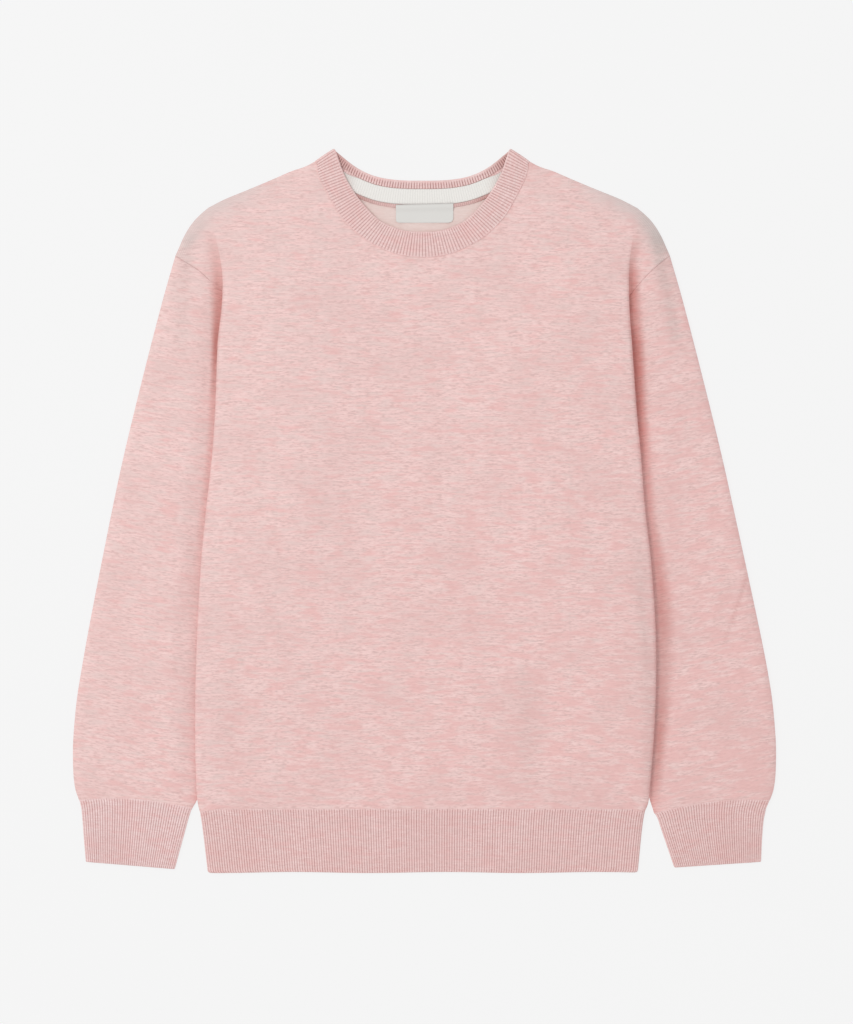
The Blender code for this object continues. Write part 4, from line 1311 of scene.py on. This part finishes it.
def flecked(tree, bent, yarn, contrast):
    """Short flecks of deeper and paler yarn along the rows of stitches."""
    ramp = node(tree, "ValToRGB", {0: layered(tree, bent, FLECKS)})
    half = 0.12 / contrast
    stops = ramp.color_ramp.elements
    stops[0].position, stops[0].color = 0.5 - half, (*yarn.deep, 1)
    stops[1].position, stops[1].color = 0.5 + half, (*yarn.pale, 1)
    stops.new(0.5).color = (*yarn.middle, 1)
    return ramp.outputs[0]


def streaked(tree, cloth, bent, colour, yarn, patchy, shade_warmth):
    """Greyer and pinker streaks, and a broad soft mottle of the deeper yarn."""
    # painted shade: pinker and less grey towards the wearer's left and the hem, farther from the lamp
    drift = (shade_warmth, -shade_warmth, 0)
    towards = node(tree, "VectorMath", {0: cloth, 1: drift}, operation="DOT_PRODUCT").outputs["Value"]
    greyer = calc(tree, "MULTIPLY_ADD", towards, -1.2, noise(tree, bent, 21, 4.4, 1, 53))
    grey = ramped(tree, greyer, 0.46, 0.74)
    colour = mixed(tree, part_of(tree, grey, GREY_SHARE * patchy), colour, yarn.grey)
    blush = ramped(tree, calc(tree, "ADD", layered(tree, bent, PINK_STREAKS), towards), 0.48, 0.68)
    colour = mixed(tree, part_of(tree, blush, BLUSH_SHARE * patchy), colour, BLUSH)
    mottle = ramped(tree, noise(tree, cloth, 60, 42, 2, 90), 0.4, 0.68)
    return mixed(tree, part_of(tree, mottle, MOTTLE_SHARE), colour, yarn.deep)


def heather(name, yarn, wale, groove_shade_share, bump=0.45, contrast=1.0, patchy=1.0, shade_warmth=0.0):
    """Knit of mélange yarn: two-tone flecks along the rows, and greyer and pinker streaks.

    shade_warmth is how fast the pinker streaks grow, and the greyer ones fade, towards the wearer's left and
    the hem: painted shade, deeper pink farther from the lamp.
    """
    made, tree, shader = blank_material(name, 0.95, 0.06, 0.1)
    cloth, groove = from_cloth(tree)
    bent = slanted(tree, cloth)
    colour = streaked(tree, cloth, bent, flecked(tree, bent, yarn, contrast), yarn, patchy, shade_warmth)
    # painted shade in the valleys of ribs and seams
    colour = mixed(tree, part_of(tree, groove, groove_shade_share), colour, GROOVE_SHADE_PINK)
    colour = toned(tree, colour, rim_lines(tree, cloth))
    fibres = noise(tree, cloth, 0.5, 0.35, 2, 12)
    height = calc(tree, "MULTIPLY_ADD", fibres, 0.5, stitches(tree, cloth, wale, COURSE))
    return finished(made, tree, shader, colour, height, bump, 0.35)


def rib_knit(name, yarn, pitch, groove_shade_share):
    return heather(name, yarn, pitch, groove_shade_share, bump=0.3, contrast=0.8, patchy=0.6)


def facing_material():
    """Off-white rib knit."""
    made, tree, shader = blank_material("facing_white", 0.95, 0.1, 0.12)
    cloth, groove = from_cloth(tree)
    white = mixed(tree, noise(tree, cloth, 1.2, 1.6, 2), WHITE_DEEP, WHITE_PALE)
    # painted shade in the facing's rib valleys
    colour = toned(tree, mixed(tree, part_of(tree, groove, 0.28), white, WHITE_GROOVE_SHADE))
    return finished(made, tree, shader, colour, stitches(tree, cloth, FACING.pitch, 1.1), 0.35, 0.3)


def label_material():
    """Woven satin, pale grey, with one row of sewing along its top, darkened also as painted shadow under the
    facing's edge.
    """
    made, tree, shader = blank_material("label_satin", 0.55, 0.25, 0.35)
    cloth, sewing = from_cloth(tree)
    weave = noise(tree, cloth, 0.5, 0.12, 1)
    satin = mixed(tree, weave, SATIN_DEEP, SATIN_PALE)
    colour = mixed(tree, part_of(tree, sewing, 0.7), satin, SEWING_AND_SHADE_GREY)
    return finished(made, tree, shader, colour, weave, 0.3, 0.1)


# ---------------------------------------------------------------- floor, light and camera

FLOOR_TONE = 0.913  # the photo's plain pale ground
FLOOR_GLOW = 0.9  # share of it that is even light, so the contact shadows stay faint
FLOOR_REACH, FLOOR_Z = 6.0, -0.0003
WORLD_LIGHT = 0.73
KEY_PLACE, KEY_SIZE, KEY_POWER = (-1.25, 0.6, 2.5), 1.1, 24.8
CAMERA_PLACE = (0.0019, -0.0014, 3.0)
SENSOR, LENS = 24.0, 73.9


def floor():
    mesh = bpy.data.meshes.new("floor")
    corners = [(x * FLOOR_REACH, y * FLOOR_REACH, FLOOR_Z) for x, y in ((-1, -1), (1, -1), (1, 1), (-1, 1))]
    mesh.from_pydata(corners, [], [(0, 1, 2, 3)])
    made, tree, shader = blank_material("floor_pale", 0.9, 0.0, 0.1)
    grain = noise(tree, node(tree, "NewGeometry").outputs["Position"], 900, 900, 2)
    own = FLOOR_TONE * (1 - FLOOR_GLOW)
    tone = mixed(tree, grain, (own * 0.99,) * 3, (own * 1.01,) * 3)
    tree.links.new(tone, shader.inputs["Base Color"])
    shader.inputs["Emission Color"].default_value = (1, 1, 1, 1)
    shader.inputs["Emission Strength"].default_value = FLOOR_TONE * FLOOR_GLOW
    mesh.materials.append(made)
    made_floor = bpy.data.objects.new("floor", mesh)
    bpy.context.scene.collection.objects.link(made_floor)


def lights():
    world = bpy.data.worlds.new("studio")
    world.use_nodes = True
    background = world.node_tree.nodes["Background"]
    background.inputs["Color"].default_value = (1, 1, 1, 1)
    background.inputs["Strength"].default_value = WORLD_LIGHT
    bpy.context.scene.world = world
    lamp = bpy.data.lights.new("key", "AREA")
    lamp.energy, lamp.size = KEY_POWER, KEY_SIZE
    key = bpy.data.objects.new("key", lamp)
    key.location = KEY_PLACE
    key.rotation_euler = (-key.location).to_track_quat("-Z", "Y").to_euler()
    bpy.context.scene.collection.objects.link(key)


def camera():
    lens = bpy.data.cameras.new("camera")
    lens.sensor_fit, lens.sensor_height, lens.lens = "VERTICAL", SENSOR, LENS
    made = bpy.data.objects.new("camera", lens)
    made.location = CAMERA_PLACE
    bpy.context.scene.collection.objects.link(made)
    bpy.context.scene.camera = made


# ---------------------------------------------------------------- the sweater


def declare(piece, cad_node):
    """Puts a piece in place of the frame's part: attaches it to the body and hides that part."""
    stand_in(piece, cad_node)


def stand_in(piece, cad_node):
    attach(piece, BODY)
    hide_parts(cad_node)


def main():
    knit = heather("knit_pink", KNIT, WALE, 0.3, shade_warmth=0.2)
    rib = rib_knit("rib_pink", RIB, HEM_RIB_PITCH, 0.62)
    band_rib = rib_knit("neck_rib_pink", NECK_RIB, NECK_RIB_PITCH, 0.58)
    pale_rib = rib_knit("rib_pale_pink", PALE_RIB, HEM_RIB_PITCH, 0.62)
    inside = heather("knit_inside", CREAM, WALE, 0.3, contrast=0.5, patchy=0.15)
    white, satin = facing_material(), label_material()

    front = body_panel("body_front_knit", front_layers, FRONT_RIBS, FRONT_SPACING, [knit, inside])
    declare(front, "body_front")
    back = body_panel("body_back_knit", back_layers, BACK_RIBS, BACK_SPACING, [knit, inside])
    declare(back, "body_back")
    for side in (-1, 1):
        name = side_name(side)
        declare(sleeve(side, [knit, inside]), "sleeve_" + name)
        cuff_rib = pale_rib if side < 0 else rib  # the right cuff is a little paler in the photo
        declare(cuff(side, cuff_rib), "cuff_" + name)
    declare(hem(rib), "hem_rib")
    declare(neckband(band_rib), "neckband")
    tape = neck_strip("neck_tape_knit", TAPE, rib)
    stand_in(tape, "neck_tape")
    facing = neck_strip("neck_facing_rib", FACING, white)
    declare(facing, "neck_facing")
    declare(label(satin), "label")
    floor()
    lights()
    camera()
    bpy.context.scene.view_settings.view_transform = "Standard"


main()
